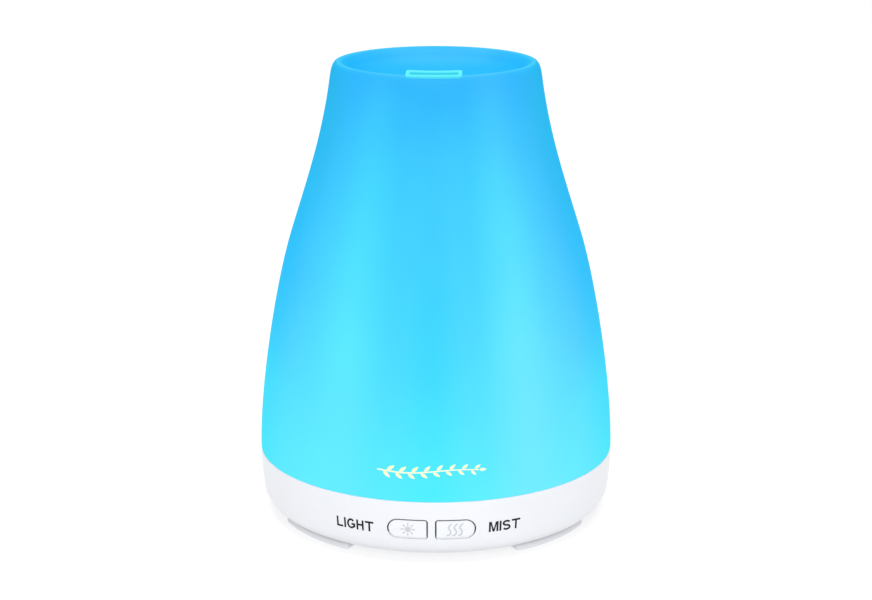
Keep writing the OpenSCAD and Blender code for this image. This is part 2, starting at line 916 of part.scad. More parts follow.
module lead_connectors() {
    color("ivory")
    for (c = connector_list)
        translate([c[0], c[1], board_top_z]) rotate([0, 0, c[2]])
            difference() {
                translate([-1.9, -3, 0]) cube([3.8, 6, 4.2]);
                translate([-1.5, -2.3, 1.2]) cube([3, 4.6, 4]);
            }
}

module board_screws() {
    color("silver")
    for (p = board_screw_spots)
        translate([p[0], p[1], board_top_z]) screw_down(screw_r, 6, screw_head_r, screw_head_h);
}

// ---------------------------------------------------------------- buttons

// Ring that follows the base's side, between two depths under its surface
module side_ring(near, far) {
    rotate_extrude() difference() {
        base_section(near, seam_z);
        base_section(far, seam_z + 1);
    }
}

module button(side) {
    intersection() {
        button_bar(side, 0);
        side_ring(button_set_back, base_wall + flange_gap + flange_t);
    }
    intersection() {
        button_bar(side, flange_grow);
        side_ring(base_wall + flange_gap, base_wall + flange_gap + flange_t);
    }
    translate([side * button_x, stem_front_y, button_z])
        rotate([90, 0, 0]) cylinder(r = plunger_r, h = 3.4);
}

module light_button() {
    color("white") button(-1);
}

module mist_button() {
    color("white") button(1);
}

module switch_stem(side) {
    translate([side * button_x, stem_front_y, button_z])
        rotate([-90, 0, 0]) cylinder(r = stem_r, h = stem_l);
}

module light_switch_stem() {
    color("black") switch_stem(-1);
}

module mist_switch_stem() {
    color("black") switch_stem(1);
}

module switch_housings() {
    color("gray")
    for (side = [-1, 1])
        translate([side * button_x, switch_front_y, button_z])
        difference() {
            translate([-switch_w / 2, 0, -switch_w / 2]) cube([switch_w, switch_d, switch_w]);
            translate([0, -1, 0]) rotate([-90, 0, 0])
                cylinder(r = stem_r + stem_clear, h = switch_bore_l + 1);
        }
}

module button_board() {
    color("darkgreen")
    difference() {
        translate([-button_board_w / 2, button_board_y, button_board_low_z])
            cube([button_board_w, button_board_h, button_board_top_z - button_board_low_z]);
        for (s = [-1, 1])
            translate([s * button_screw_x, button_board_y - 1, button_screw_z])
                rotate([-90, 0, 0]) cylinder(r = screw_r, h = 5);
    }
}

module button_board_screws() {
    color("silver")
    for (s = [-1, 1])
        translate([s * button_screw_x, button_board_y, button_screw_z])
            rotate([-90, 0, 0]) screw_up(screw_r, 5, 1.8, 1.2);
}

// ---------------------------------------------------------------- power inlet

module dc_inlet() {
    color("black")
    difference() {
        union() {
            translate([0, inlet_front_y - inlet_nose_l, inlet_z])
                rotate([-90, 0, 0]) cylinder(r = inlet_nose_r, h = inlet_nose_l);
            translate([-inlet_w / 2, inlet_back_y, inlet_z - 5])
                cube([inlet_w, inlet_front_y - inlet_nose_l - inlet_back_y + eps, 9.4]);
        }
        translate([0, inlet_bore_end_y, inlet_z])
            rotate([-90, 0, 0]) cylinder(r = inlet_bore_d / 2, h = inlet_bore_l + 1);
        translate([0, inlet_back_y - 1, inlet_z])
            rotate([-90, 0, 0]) cylinder(r = inlet_pin_root_r, h = 6);
    }
}

module inlet_pin() {
    root_y = inlet_back_y - 1.4;
    color("gold") {
        translate([0, root_y, inlet_z])
            rotate([-90, 0, 0]) cylinder(r = inlet_pin_root_r, h = inlet_bore_end_y - root_y);
        translate([0, inlet_bore_end_y, inlet_z])
            rotate([-90, 0, 0])
                cylinder(r = inlet_pin_d / 2, h = inlet_pin_front_y - inlet_bore_end_y);
    }
}

module inlet_terminals() {
    color("silver")
    for (s = [-1, 1])
        translate([s * 1.5 - 0.6, inlet_back_y - 2.6, inlet_z - 3]) cube([1.2, 2.6, 0.6]);
}

// ---------------------------------------------------------------- leads

function unit(v) = v / norm(v);

// Direction of a route at its point i
function heading(route, i) =
    unit(route[min(i + 1, len(route) - 1)] - route[max(i - 1, 0)]);

// A side direction that is never along the route
function side_of(v) = unit(cross(v, abs(v[2]) > 0.9 ? [1, 0, 0] : [0, 0, 1]));

// The side direction carried along the route, so that the tube doesn't twist
function side_at(route, i, first) =
    i == 0 ? first
    : let (before = side_at(route, i - 1, first), d = heading(route, i))
        unit(before - (before * d) * d);

// Round tube of one piece along a route, shifted sideways from it
module tube(route, r, shift) {
    rings = len(route);
    first = side_of(heading(route, 0));
    points = [for (i = [0 : rings - 1])
        let (d = heading(route, i), s = side_at(route, i, first), u = cross(d, s))
        for (k = [0 : lead_sides - 1])
            let (a = 360 * k / lead_sides)
            route[i] + (shift + r * cos(a)) * s + r * sin(a) * u];
    sides = [for (i = [0 : rings - 2], k = [0 : lead_sides - 1])
        let (n = (k + 1) % lead_sides)
        [
            i * lead_sides + k, (i + 1) * lead_sides + k,
            (i + 1) * lead_sides + n, i * lead_sides + n
        ]];
    polyhedron(
        points = points,
        faces = concat(
            [[for (k = [0 : lead_sides - 1]) k]],
            sides,
            [[for (k = [lead_sides - 1 : -1 : 0]) (rings - 1) * lead_sides + k]]
        )
    );
}

// Smooth route through hand-set corners: each corner becomes a short quadratic curve
function soften(p) = concat(
    [p[0]],
    [for (i = [1 : len(p) - 2], t = [0 : 0.25 : 1])
        let (a = (p[i - 1] + p[i]) / 2, b = (p[i] + p[i + 1]) / 2)
        if (t > 0 || i == 1) a * pow(1 - t, 2) + 2 * p[i] * t * (1 - t) + b * t * t],
    [p[len(p) - 1]]
);

// Two wires side by side along one route
module lead_pair(route) {
    for (s = [-1, 1]) tube(soften(route), lead_r, s * lead_spread / 2);
}

disc_route = [
    [-4, 0, 29], [-4, 0, 25], [-9, 1, 22], [-16, 2, 20], [-18.6, 2, 17], [-18.6, 2, 11.2]
];
fan_route = [
    [1.85, 12, 9], [-0.6, 12.1, 9.3], [-3, 14.6, 13.6], [-10, 17, 17.5],
    [-16, 16.5, 17.5], [-17.5, 16, 15], [-17.5, 16, 11.2]
];
led_route = [
    [-20, -5, 26.88], [-20.2, -5.2, 25], [-22, -6.4, 23], [-26, -7.5, 21],
    [-30, -8, 18], [-30, -8, 15], [-30, -8, 11.2]
];
button_route = [
    [-2, -37, 6.5], [-2, -33, 6.5], [-6, -27, 8], [-12, -22, 12],
    [-16, -17.5, 15.5], [-17, -16, 15], [-17, -16, 11.2]
];
inlet_route = [
    [0, 32.4, 6.8], [0, 29, 7.5], [-1, 25, 10], [-4, 21, 12.5], [-7, 17.7, 12], [-7, 17.5, 9.72]
];

module disc_leads() {
    color("red") lead_pair(disc_route);
}

module fan_leads() {
    color("black") lead_pair(fan_route);
}

module led_leads() {
    color("white") lead_pair(led_route);
}

module button_leads() {
    color("blue") lead_pair(button_route);
}

module inlet_leads() {
    color("red") lead_pair(inlet_route);
}

top_cover();
cover_crown();
mist_nozzle();
mist_chimney();
water_tank();
tank_floor();
air_column();
tank_posts();
tank_gasket();
air_column_cap();
ultrasonic_disc();
disc_seal();
disc_retainer();
retainer_screws();
led_board();
leds();
led_board_screws();
base_shell();
bottom_cover();
foot_pads();
bottom_screws();
fan_frame();
fan_rotor();
fan_screws();
air_duct();
driver_board();
power_inductor();
capacitors();
controller_chip();
power_transistor();
heat_sink();
lead_connectors();
board_screws();
light_button();
mist_button();
light_switch_stem();
mist_switch_stem();
switch_housings();
button_board();
button_board_screws();
dc_inlet();
inlet_pin();
inlet_terminals();
disc_leads();
fan_leads();
led_leads();
button_leads();
inlet_leads();
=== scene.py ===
"""Essential oil diffuser: visible pieces, materials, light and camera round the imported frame.

The frame is in metres: +Z up, the feet on z = 0, the buttons facing -Y, the power inlet facing +Y.
Outlines are worked out in millimetres, as in the part's source, and become metres in new_piece().
"""

import math

import bmesh
import bpy
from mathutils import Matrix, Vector


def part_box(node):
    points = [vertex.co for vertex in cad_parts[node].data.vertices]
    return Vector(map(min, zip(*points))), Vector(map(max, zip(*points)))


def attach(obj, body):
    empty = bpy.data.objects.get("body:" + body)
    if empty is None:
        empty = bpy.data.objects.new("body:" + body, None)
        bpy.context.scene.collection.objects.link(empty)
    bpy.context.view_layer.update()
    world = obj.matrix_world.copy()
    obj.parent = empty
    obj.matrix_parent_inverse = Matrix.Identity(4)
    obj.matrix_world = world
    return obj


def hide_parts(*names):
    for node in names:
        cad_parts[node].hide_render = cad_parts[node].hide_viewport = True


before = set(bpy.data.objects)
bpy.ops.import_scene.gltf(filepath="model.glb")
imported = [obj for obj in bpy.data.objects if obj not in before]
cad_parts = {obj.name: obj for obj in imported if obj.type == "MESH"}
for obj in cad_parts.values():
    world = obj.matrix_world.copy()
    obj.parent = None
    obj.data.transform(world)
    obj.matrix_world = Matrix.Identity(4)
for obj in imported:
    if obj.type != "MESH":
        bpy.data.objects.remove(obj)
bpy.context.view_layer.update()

MM = 0.001

# ------------------------------------------------------------------ sizes, in millimetres

cover_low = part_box("top_cover")[0] / MM
cover_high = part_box("cover_crown")[1] / MM
nozzle_low, nozzle_high = (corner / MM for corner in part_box("mist_nozzle"))

SEAM_R = -cover_low.x
SEAM_Z = cover_low.z
RIDGE_R = 26.9
RIDGE_Z = cover_high.z
COVER_WALL = 1.8
SEAM_ROUND = 0.35
WAIST_LEAN = math.radians(17.07)
NECK_LEAN = math.radians(7.8)

WAIST = Vector((40.6, 79.3))
WAIST_DIR = Vector((-math.sin(WAIST_LEAN), math.cos(WAIST_LEAN)))
NECK = Vector((29.1, 123.2))
NECK_DIR = Vector((-math.sin(NECK_LEAN), math.cos(NECK_LEAN)))
RIDGE = Vector((RIDGE_R, RIDGE_Z))
DISH_EDGE = RIDGE - Vector((3.5, 2.2))
DISH_FLOOR = Vector((0, RIDGE_Z - 7))

BELLY = (
    Vector((SEAM_R, SEAM_Z)), Vector((SEAM_R, SEAM_Z + 17.7)),
    WAIST - 14.7 * WAIST_DIR, WAIST,
)
HOLLOW = (WAIST, WAIST + 13.5 * WAIST_DIR, NECK - 17.1 * NECK_DIR, NECK)
SHOULDER = (NECK, NECK + 3.2 * NECK_DIR, RIDGE + Vector((1.1, 0)), RIDGE)
LIP = (RIDGE, RIDGE - Vector((1.3, 0)), DISH_EDGE + Vector((1, 1.15)), DISH_EDGE)
DISH = (DISH_EDGE, DISH_EDGE - Vector((4, 3.6)), DISH_FLOOR + Vector((10, 0)), DISH_FLOOR)

BOW_R = 90
BOW_TURN = math.radians(6.875)
CORNER_R = 6.65
BOW_MID = Vector((SEAM_R - BOW_R, SEAM_Z))
CORNER_MID = BOW_MID + (BOW_R - CORNER_R) * Vector((math.cos(BOW_TURN), -math.sin(BOW_TURN)))
UNDER_Z = CORNER_MID.y - CORNER_R
BASE_WALL = 2
BOTTOM_OPENING_R = 39
SHELF_Z = 16
SHELF_R = 45.2

NOZZLE_HALF = nozzle_high.x
NOZZLE_FRONT_R = -nozzle_low.y
NOZZLE_BACK_R = 18.8
NOZZLE_CORNER = 0.9
SLOT_HALF = 6.4
SLOT_FRONT_R = 26
SLOT_BACK_R = 21.3
SLOT_CORNER = 0.5

FOOT_OUTER_R = 45.7
FOOT_INNER_R = 41
FOOT_HALF_ARC = math.radians(17.5)
FOOT_ANGLE = 47.5

BUTTON_W = 10.3
BUTTON_H = 5.1
BUTTON_GAP = 2.5
BUTTON_Z = 10.15
BUTTON_CLEAR = 0.3
BUTTON_SET_BACK = 0.15
BUTTON_NICK = 0.5
ICON_X = 6.3
ICON_DROP = 0.1

INLET_Z = 9.5
INLET_NOSE_R = 4.6
INLET_CLEAR = 0.08

PRINT_ROOT = -0.04
PRINT_THICK = 0.05
TURN_STEPS = 240

# ------------------------------------------------------------------ curves

def bezier(p, t):
    """Point of a cubic curve."""
    u = 1 - t
    return p[0] * u ** 3 + 3 * p[1] * t * u * u + 3 * p[2] * t * t * u + p[3] * t ** 3


def bezier_normal(p, t):
    """Unit vector to the left of the curve's direction of travel."""
    u = 1 - t
    d = (p[1] - p[0]) * u * u + 2 * (p[2] - p[1]) * t * u + (p[3] - p[2]) * t * t
    return Vector((-d.y, d.x)).normalized()


def curve(p, steps, inset=0.0, first=0):
    """Points along a curve, moved to its left by inset."""
    return [
        bezier(p, i / steps) + inset * bezier_normal(p, i / steps)
        for i in range(first, steps + 1)
    ]


def arc(centre, radius, start, end, steps):
    """Points of an arc; angles in radians."""
    return [
        Vector((centre[0] + radius * math.cos(a), centre[1] + radius * math.sin(a)))
        for a in (start + (end - start) * i / steps for i in range(steps + 1))
    ]


def base_side(inset):
    """Side of the base from the seam down to its underside."""
    bow_steps, corner_steps = 16, 24
    bow = arc(BOW_MID, BOW_R - inset, 0, -BOW_TURN, bow_steps)
    corner = arc(CORNER_MID, CORNER_R - inset, -BOW_TURN, -math.pi / 2, corner_steps)
    return bow + corner[1:]


def base_radius(z):
    """Radius of the base's side at a height."""
    corner_top = SEAM_Z - BOW_R * math.sin(BOW_TURN)
    if z > corner_top:
        return BOW_MID.x + math.sqrt(BOW_R ** 2 - (SEAM_Z - z) ** 2)
    return CORNER_MID.x + math.sqrt(max(CORNER_R ** 2 - (CORNER_MID.y - z) ** 2, 0))


def belly_radius(z):
    """Radius of the cover's bulging side at a height."""
    low, high = 0.0, 1.0
    for _ in range(40):
        middle = (low + high) / 2
        if bezier(BELLY, middle).y < z:
            low = middle
        else:
            high = middle
    return bezier(BELLY, low).x


# ------------------------------------------------------------------ mesh building

def new_piece(name, verts, faces, material, body, smooth_below=40):
    """Mesh object from points in millimetres, with smooth faces and sharp edges, on a body."""
    mesh = bpy.data.meshes.new(name)
    bm = bmesh.new()
    points = [bm.verts.new(Vector(v) * MM) for v in verts]
    for f in faces:
        bm.faces.new([points[i] for i in f])
    bmesh.ops.remove_doubles(bm, verts=bm.verts, dist=1e-7)
    bmesh.ops.recalc_face_normals(bm, faces=bm.faces)
    bm.to_mesh(mesh)
    bm.free()
    mesh.materials.append(material)
    shade(mesh, smooth_below)
    obj = bpy.data.objects.new(name, mesh)
    bpy.context.scene.collection.objects.link(obj)
    if body:
        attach(obj, body)
    return obj


def shade(mesh, smooth_below):
    """Smooth faces, with the edges that turn more than the angle kept sharp."""
    mesh.polygons.foreach_set("use_smooth", [True] * len(mesh.polygons))
    mesh.set_sharp_from_angle(angle=math.radians(smooth_below))


def loft(rings, closed=False, capped=False):
    """(verts, faces) that join rings of equal length one after the other."""
    n = len(rings[0])
    verts = [point for ring in rings for point in ring]
    count = len(rings)
    faces = []
    for k in range(count if closed else count - 1):
        low, high = k * n, (k + 1) % count * n
        for i in range(n):
            j = (i + 1) % n
            faces.append((low + i, low + j, high + j, high + i))
    if capped:
        faces.append(tuple(reversed(range(n))))
        faces.append(tuple(range((count - 1) * n, count * n)))
    return verts, faces


def joined(*meshes):
    """One (verts, faces) of several."""
    verts, faces = [], []
    for more_verts, more_faces in meshes:
        start = len(verts)
        verts += more_verts
        faces += [tuple(start + i for i in f) for f in more_faces]
    return verts, faces


def revolve(outline, steps, closed=False):
    """(verts, faces) of an outline of (radius, z) turned about the upright axis."""
    turns = [2 * math.pi * i / steps for i in range(steps)]
    rings = [
        [Vector((p[0] * math.cos(a), p[0] * math.sin(a), p[1])) for a in turns]
        for p in outline
    ]
    return loft(rings, closed=closed)


def cut(obj, *cutters):
    """Takes the cutters out of the piece, deletes them, and clears the slivers that a cut leaves."""
    merge_within = 2e-7
    straight_below = 0.05
    for cutter in cutters:
        modifier = obj.modifiers.new("cut", "BOOLEAN")
        modifier.object = cutter
        modifier.solver = "EXACT"
    graph = bpy.context.evaluated_depsgraph_get()
    mesh = bpy.data.meshes.new_from_object(obj.evaluated_get(graph))
    bm = bmesh.new()
    bm.from_mesh(mesh)
    bmesh.ops.remove_doubles(bm, verts=bm.verts, dist=merge_within)
    bmesh.ops.dissolve_degenerate(bm, edges=bm.edges, dist=merge_within)
    on_straight = [v for v in bm.verts if v.calc_edge_angle(1) < straight_below]
    bmesh.ops.dissolve_verts(bm, verts=on_straight)
    bm.to_mesh(mesh)
    bm.free()
    obj.modifiers.clear()
    obj.data = mesh
    for cutter in cutters:
        bpy.data.objects.remove(cutter)


# ------------------------------------------------------------------ materials

class Nodes:
    """Short ways to add nodes to one material."""

    def __init__(self, name):
        self.material = bpy.data.materials.new(name)
        self.material.use_nodes = True
        self.tree = self.material.node_tree
        self.shader = self.tree.nodes["Principled BSDF"]
        self.place = self.add("ShaderNodeTexCoord").outputs["Object"]

    def add(self, kind, **settings):
        node = self.tree.nodes.new(kind)
        for key, value in settings.items():
            setattr(node, key, value)
        return node

    def link(self, output, socket):
        self.tree.links.new(output, socket)

    def noise(self, scale, detail=2.0, roughness=0.5):
        node = self.add("ShaderNodeTexNoise")
        node.inputs["Scale"].default_value = scale
        node.inputs["Detail"].default_value = detail
        node.inputs["Roughness"].default_value = roughness
        self.link(self.place, node.inputs["Vector"])
        return node.outputs["Fac"]

    def map_range(self, value, from_low, from_high, low=0.0, high=1.0):
        """The value's stretch between two limits, spread from low to high."""
        node = self.add("ShaderNodeMapRange")
        node.inputs["From Min"].default_value = from_low
        node.inputs["From Max"].default_value = from_high
        node.inputs["To Min"].default_value = low
        node.inputs["To Max"].default_value = high
        self.link(value, node.inputs["Value"])
        return node.outputs["Result"]

    def spread(self, noise, low, high):
        """The range where most of a noise lies, spread from low to high."""
        return self.map_range(noise, 0.3, 0.7, low, high)

    def part(self, vector, axis):
        """One coordinate of a vector."""
        node = self.add("ShaderNodeSeparateXYZ")
        self.link(vector, node.inputs["Vector"])
        return node.outputs[axis]

    def vector(self, operation, value, output="Vector"):
        """A vector operation on one value."""
        node = self.add("ShaderNodeVectorMath", operation=operation)
        self.link(value, node.inputs[0])
        return node.outputs[output]

    def out_from_axis(self):
        """The place on the object, without its height."""
        node = self.add("ShaderNodeVectorMath", operation="MULTIPLY")
        node.inputs[1].default_value = (1, 1, 0)
        self.link(self.place, node.inputs[0])
        return node.outputs["Vector"]

    def ramp(self, value, stops, interpolation="LINEAR"):
        """Colours at places along a value."""
        node = self.add("ShaderNodeValToRGB")
        node.color_ramp.interpolation = interpolation
        elements = node.color_ramp.elements
        while len(elements) < len(stops):
            elements.new(1)
        for element, (place, colour) in zip(elements, stops):
            element.position = place
            element.color = (*colour, 1)
        self.link(value, node.inputs["Fac"])
        return node.outputs["Color"]

    def bump(self, height, strength, distance):
        node = self.add("ShaderNodeBump")
        node.inputs["Strength"].default_value = strength
        node.inputs["Distance"].default_value = distance
        self.link(height, node.inputs["Height"])
        self.link(node.outputs["Normal"], self.shader.inputs["Normal"])

    def constants(self, **values):
        """Numbers and colours set on the shader itself."""
        for key, value in values.items():
            socket = self.shader.inputs[key.replace("_", " ")]
            socket.default_value = (*value, 1) if isinstance(value, tuple) else value


def tinted(colour, factor):
    return tuple(min(c * factor, 1) for c in colour)


def height_in(n, low, high):
    """0 at the low height of the frame and 1 at the high one, both in millimetres."""
    return n.map_range(n.part(n.place, "Z"), low * MM, high * MM)


def mixed(n, factor, first, second, blend="MIX"):
    """Colour that goes from the first to the second as the factor goes from 0 to 1."""
    node = n.add("ShaderNodeMix", data_type="RGBA", blend_type=blend)
    n.link(factor, node.inputs["Factor"])
    n.link(first, node.inputs["A"])
    n.link(second, node.inputs["B"])
    return node.outputs["Result"]


def multiplied(n, first, second):
    """One colour times the other."""
    node = n.add("ShaderNodeMix", data_type="RGBA", blend_type="MULTIPLY")
    node.inputs["Factor"].default_value = 1
    n.link(first, node.inputs["A"])
    n.link(second, node.inputs["B"])
    return node.outputs["Result"]


def grey(value):
    return (value, value, value)


def moulded(
    name, colour, roughness, grain=1600, depth=4e-6, change=0.03, painted_shade=None, **constants
):
    """Moulded plastic: fine grain in the surface and slow changes of tone and gloss.

    The painted shade, if given, is (low, high, stops): the grey that multiplies the colour at places
    between two heights.
    """
    n = Nodes(name)
    slow = n.noise(60, 3)
    fine = n.noise(grain, 2)
    stops = [(0.3, tinted(colour, 1 - change)), (0.7, tinted(colour, 1 + change))]
    tone = n.ramp(slow, stops)
    # Painted shade: the colour is multiplied by a grey that changes with height.
    if painted_shade:
        low, high, shades = painted_shade
        shade_stops = [(place, grey(level)) for place, level in shades]
        tone = multiplied(n, tone, n.ramp(height_in(n, low, high), shade_stops, "EASE"))
    n.link(tone, n.shader.inputs["Base Color"])
    n.link(n.spread(fine, roughness * 0.88, roughness * 1.12), n.shader.inputs["Roughness"])
    n.bump(fine, 0.5, depth)
    n.constants(**constants)
    return n.material


def sideways(n):
    """0 on the object's left side, 0.5 on its front and back, 1 on its right side."""
    return n.map_range(n.part(n.vector("NORMALIZE", n.out_from_axis()), "X"), -1, 1)


def away_from_axis(n, near, far):
    """0 at the near distance from the upright axis and 1 at the far one, both in millimetres."""
    return n.map_range(n.vector("LENGTH", n.out_from_axis(), "Value"), near * MM, far * MM)


def painted_lip_highlight(n):
    """Painted highlight: a pale line along the top of the rim."""
    half = 1.6
    across = away_from_axis(n, RIDGE_R - half, RIDGE_R + half)
    band = n.ramp(across, [
        (0.00, (0, 0, 0)), (0.35, (0.03, 0.07, 0)), (0.50, (0.05, 0.12, 0)),
        (0.64, (0.015, 0.035, 0)), (0.82, (0, 0, 0)),
    ], "EASE")
    high = n.ramp(height_in(n, RIDGE_Z - 1.5, RIDGE_Z), [(0.1, grey(0.0)), (0.7, grey(1.0))])
    return high, band


def lit_cover():
    """Frosted plastic lit from inside: cyan low down, bluer above, brightest in front of each inner lamp,
    with painted highlight bands there, painted shade on the flanks, a painted reflection of the side strips
    and a painted highlight along the rim.
    """
    n = Nodes("lit_cover")
    height = height_in(n, SEAM_Z, RIDGE_Z)
    middle = n.ramp(height, [
        (0.00, (0.058, 0.70, 0.85)),
        (0.08, (0.054, 0.66, 0.85)),
        (0.20, (0.040, 0.59, 0.82)),
        (0.31, (0.028, 0.53, 0.80)),
        (0.48, (0.020, 0.46, 0.78)),
        (0.62, (0.018, 0.42, 0.76)),
        (0.80, (0.014, 0.38, 0.74)),
        (0.93, (0.004, 0.30, 0.74)),
        (1.00, (0.000, 0.28, 0.74)),
    ])
    # Glow in front of each inner lamp, brightened by painted highlight bands.
    lamp_glow_and_highlight = n.ramp(height, [
        (0.00, (0.065, 0.68, 0.85)),
        (0.20, (0.055, 0.64, 0.85)),
        (0.36, (0.042, 0.63, 0.85)),
        (0.48, (0.034, 0.60, 0.82)),
        (0.60, (0.026, 0.56, 0.80)),
        (0.75, (0.018, 0.49, 0.78)),
        (0.93, (0.010, 0.36, 0.74)),
        (1.00, (0.004, 0.30, 0.74)),
    ])
    # Painted shade: the flanks are darker and less blue than the front and back.
    flank_painted_shade = n.ramp(height, [
        (0.00, (0.050, 0.66, 0.72)),
        (0.20, (0.030, 0.58, 0.74)),
        (0.34, (0.012, 0.45, 0.72)),
        (0.48, (0.004, 0.39, 0.73)),
        (0.62, (0.004, 0.36, 0.68)),
        (0.86, (0.004, 0.34, 0.62)),
        (1.00, (0.002, 0.30, 0.60)),
    ])
    side = sideways(n)
    # Where that glow and the painted highlight bands lie: either side of the front and of the back.
    lamp_and_highlight_bands = n.ramp(side, [
        (0.04, grey(0.1)), (0.14, grey(0.4)), (0.25, grey(1.0)), (0.41, grey(0.2)), (0.50, grey(0.0)),
        (0.59, grey(0.2)), (0.75, grey(1.0)), (0.86, grey(0.4)), (0.96, grey(0.1)),
    ], "EASE")
    # Where the painted shade on the flanks is laid.
    on_shaded_flank = n.ramp(side, [
        (0.00, grey(1.0)), (0.20, grey(0.0)), (0.80, grey(0.0)), (1.00, grey(1.0)),
    ], "EASE")
    glow = mixed(n, on_shaded_flank, mixed(n, lamp_and_highlight_bands, middle, lamp_glow_and_highlight), flank_painted_shade)
    # Painted highlight: a pale reflection of the side strips, stronger on the right.
    painted_strip_highlight = n.ramp(side, [
        (0.00, (0.010, 0, 0)), (0.10, (0.042, 0, 0)), (0.25, (0.044, 0, 0)), (0.38, (0.024, 0, 0)),
        (0.50, (0.004, 0, 0)), (0.62, (0.032, 0, 0)), (0.76, (0.084, 0, 0)), (0.90, (0.062, 0, 0)),
        (1.00, (0.016, 0, 0)),
    ], "EASE")
    # The painted highlight fades towards the top of the cover.
    highlight_below_neck = n.ramp(height, [(0.34, grey(1.0)), (0.55, grey(0.7)), (0.92, grey(0.25))])
    glow = mixed(n, highlight_below_neck, glow, painted_strip_highlight, "ADD")
    glow = mixed(n, away_from_axis(n, 20, 27), middle, glow)
    # Painted highlight along the top of the rim.
    high, band = painted_lip_highlight(n)
    glow = mixed(n, high, glow, band, "ADD")
    slow = n.noise(45, 3)
    fine = n.noise(1500, 2)
    stops = [(0.3, (0.004, 0.13, 0.22)), (0.7, (0.005, 0.15, 0.24))]
    n.link(n.ramp(slow, stops), n.shader.inputs["Base Color"])
    n.link(glow, n.shader.inputs["Emission Color"])
    n.link(n.spread(fine, 0.5, 0.6), n.shader.inputs["Roughness"])
    n.bump(fine, 0.4, 3e-6)
    n.constants(
        Emission_Strength=1.0, Specular_IOR_Level=0.0,
        Coat_Weight=0.06, Coat_IOR=3.5, Coat_Roughness=0.5,
    )
    return n.material


def lit_nozzle():
    """The pale frame of the outlet, lit from inside more strongly than the cover, with a painted highlight
    that brightens it towards its top edge.
    """
    n = Nodes("lit_nozzle")
    fine = n.noise(1800, 2)
    height = height_in(n, nozzle_high.z - 6, nozzle_high.z)
    # Glow from inside, with a painted highlight: brighter up the frame and brightest on its top edge.
    stops = [(0.0, (0.01, 0.30, 0.46)), (0.9, (0.02, 0.42, 0.56)), (1.0, (0.045, 0.56, 0.66))]
    n.link(n.ramp(height, stops), n.shader.inputs["Emission Color"])
    tone = n.ramp(n.noise(90, 2), [(0.3, (0.03, 0.20, 0.22)), (0.7, (0.035, 0.22, 0.24))])
    n.link(tone, n.shader.inputs["Base Color"])
    n.link(n.spread(fine, 0.38, 0.46), n.shader.inputs["Roughness"])
    n.bump(fine, 0.4, 3e-6)
    n.constants(Emission_Strength=1.0, Specular_IOR_Level=0.1)
    return n.material


def printed_gold():
    """Pale gold print with a painted glow, so that it shows pale on the lit cover."""
    n = Nodes("printed_gold")
    flecks = n.noise(5200, 2)
    tone = n.ramp(flecks, [(0.35, (0.52, 0.50, 0.20)), (0.65, (0.66, 0.62, 0.30))])
    n.link(tone, n.shader.inputs["Base Color"])
    # Painted glow: pale light on the print, which is no lamp.
    glow = n.ramp(n.noise(900, 2), [(0.3, (0.26, 0.34, 0.26)), (0.7, (0.34, 0.40, 0.30))])
    n.link(glow, n.shader.inputs["Emission Color"])
    n.link(n.spread(flecks, 0.28, 0.42), n.shader.inputs["Roughness"])
    n.bump(flecks, 0.4, 4e-6)
    n.constants(Emission_Strength=1.0, Specular_IOR_Level=0.4)
    return n.material


def metal(name, colour, roughness, scratches=900):
    """Turned or stamped metal with a faint lengthwise grain."""
    n = Nodes(name)
    grain = n.noise(scratches, 4, 0.65)
    stops = [(0.3, tinted(colour, 0.86)), (0.7, tinted(colour, 1.06))]
    n.link(n.ramp(grain, stops), n.shader.inputs["Base Color"])
    n.link(n.spread(grain, roughness * 0.7, roughness * 1.3), n.shader.inputs["Roughness"])
    n.bump(grain, 0.3, 5e-6)
    n.constants(Metallic=1.0)
    return n.material


def circuit_board(name, mask, track):
    """Solder mask over fine tracks, with tinned pads."""
    n = Nodes(name)
    cells = n.add("ShaderNodeTexVoronoi", feature="DISTANCE_TO_EDGE", distance="MANHATTAN")
    cells.inputs["Scale"].default_value = 420
    n.link(n.place, cells.inputs["Vector"])
    tracks = n.ramp(cells.outputs["Distance"], [(0.06, track), (0.10, mask)], "CONSTANT")
    pads = n.add("ShaderNodeTexVoronoi", feature="F1")
    pads.inputs["Scale"].default_value = 260
    pads.inputs["Randomness"].default_value = 0.6
    n.link(n.place, pads.inputs["Vector"])
    is_pad = n.ramp(pads.outputs["Distance"], [(0.13, (1, 1, 1)), (0.15, (0, 0, 0))])
    mix = n.add("ShaderNodeMix", data_type="RGBA")
    mix.inputs["B"].default_value = (0.62, 0.60, 0.55, 1)
    n.link(is_pad, mix.inputs["Factor"])
    n.link(tracks, mix.inputs["A"])
    n.link(mix.outputs["Result"], n.shader.inputs["Base Color"])
    n.link(is_pad, n.shader.inputs["Metallic"])
    n.link(n.spread(n.noise(700), 0.26, 0.38), n.shader.inputs["Roughness"])
    n.bump(cells.outputs["Distance"], 0.4, 1.5e-5)
    return n.material


def wound_copper():
    """Enamelled wire, wound turn upon turn."""
    n = Nodes("wound_copper")
    turns = n.add("ShaderNodeTexWave", wave_type="BANDS", bands_direction="Z")
    turns.inputs["Scale"].default_value = 620
    turns.inputs["Distortion"].default_value = 0.6
    n.link(n.place, turns.inputs["Vector"])
    stops = [(0.0, (0.20, 0.045, 0.015)), (0.6, (0.75, 0.27, 0.11)), (1.0, (0.86, 0.38, 0.18))]
    n.link(n.ramp(turns.outputs["Fac"], stops), n.shader.inputs["Base Color"])
    n.link(n.spread(n.noise(800), 0.24, 0.36), n.shader.inputs["Roughness"])
    n.bump(turns.outputs["Fac"], 0.8, 8e-5)
    n.constants(Metallic=0.85)
    return n.material


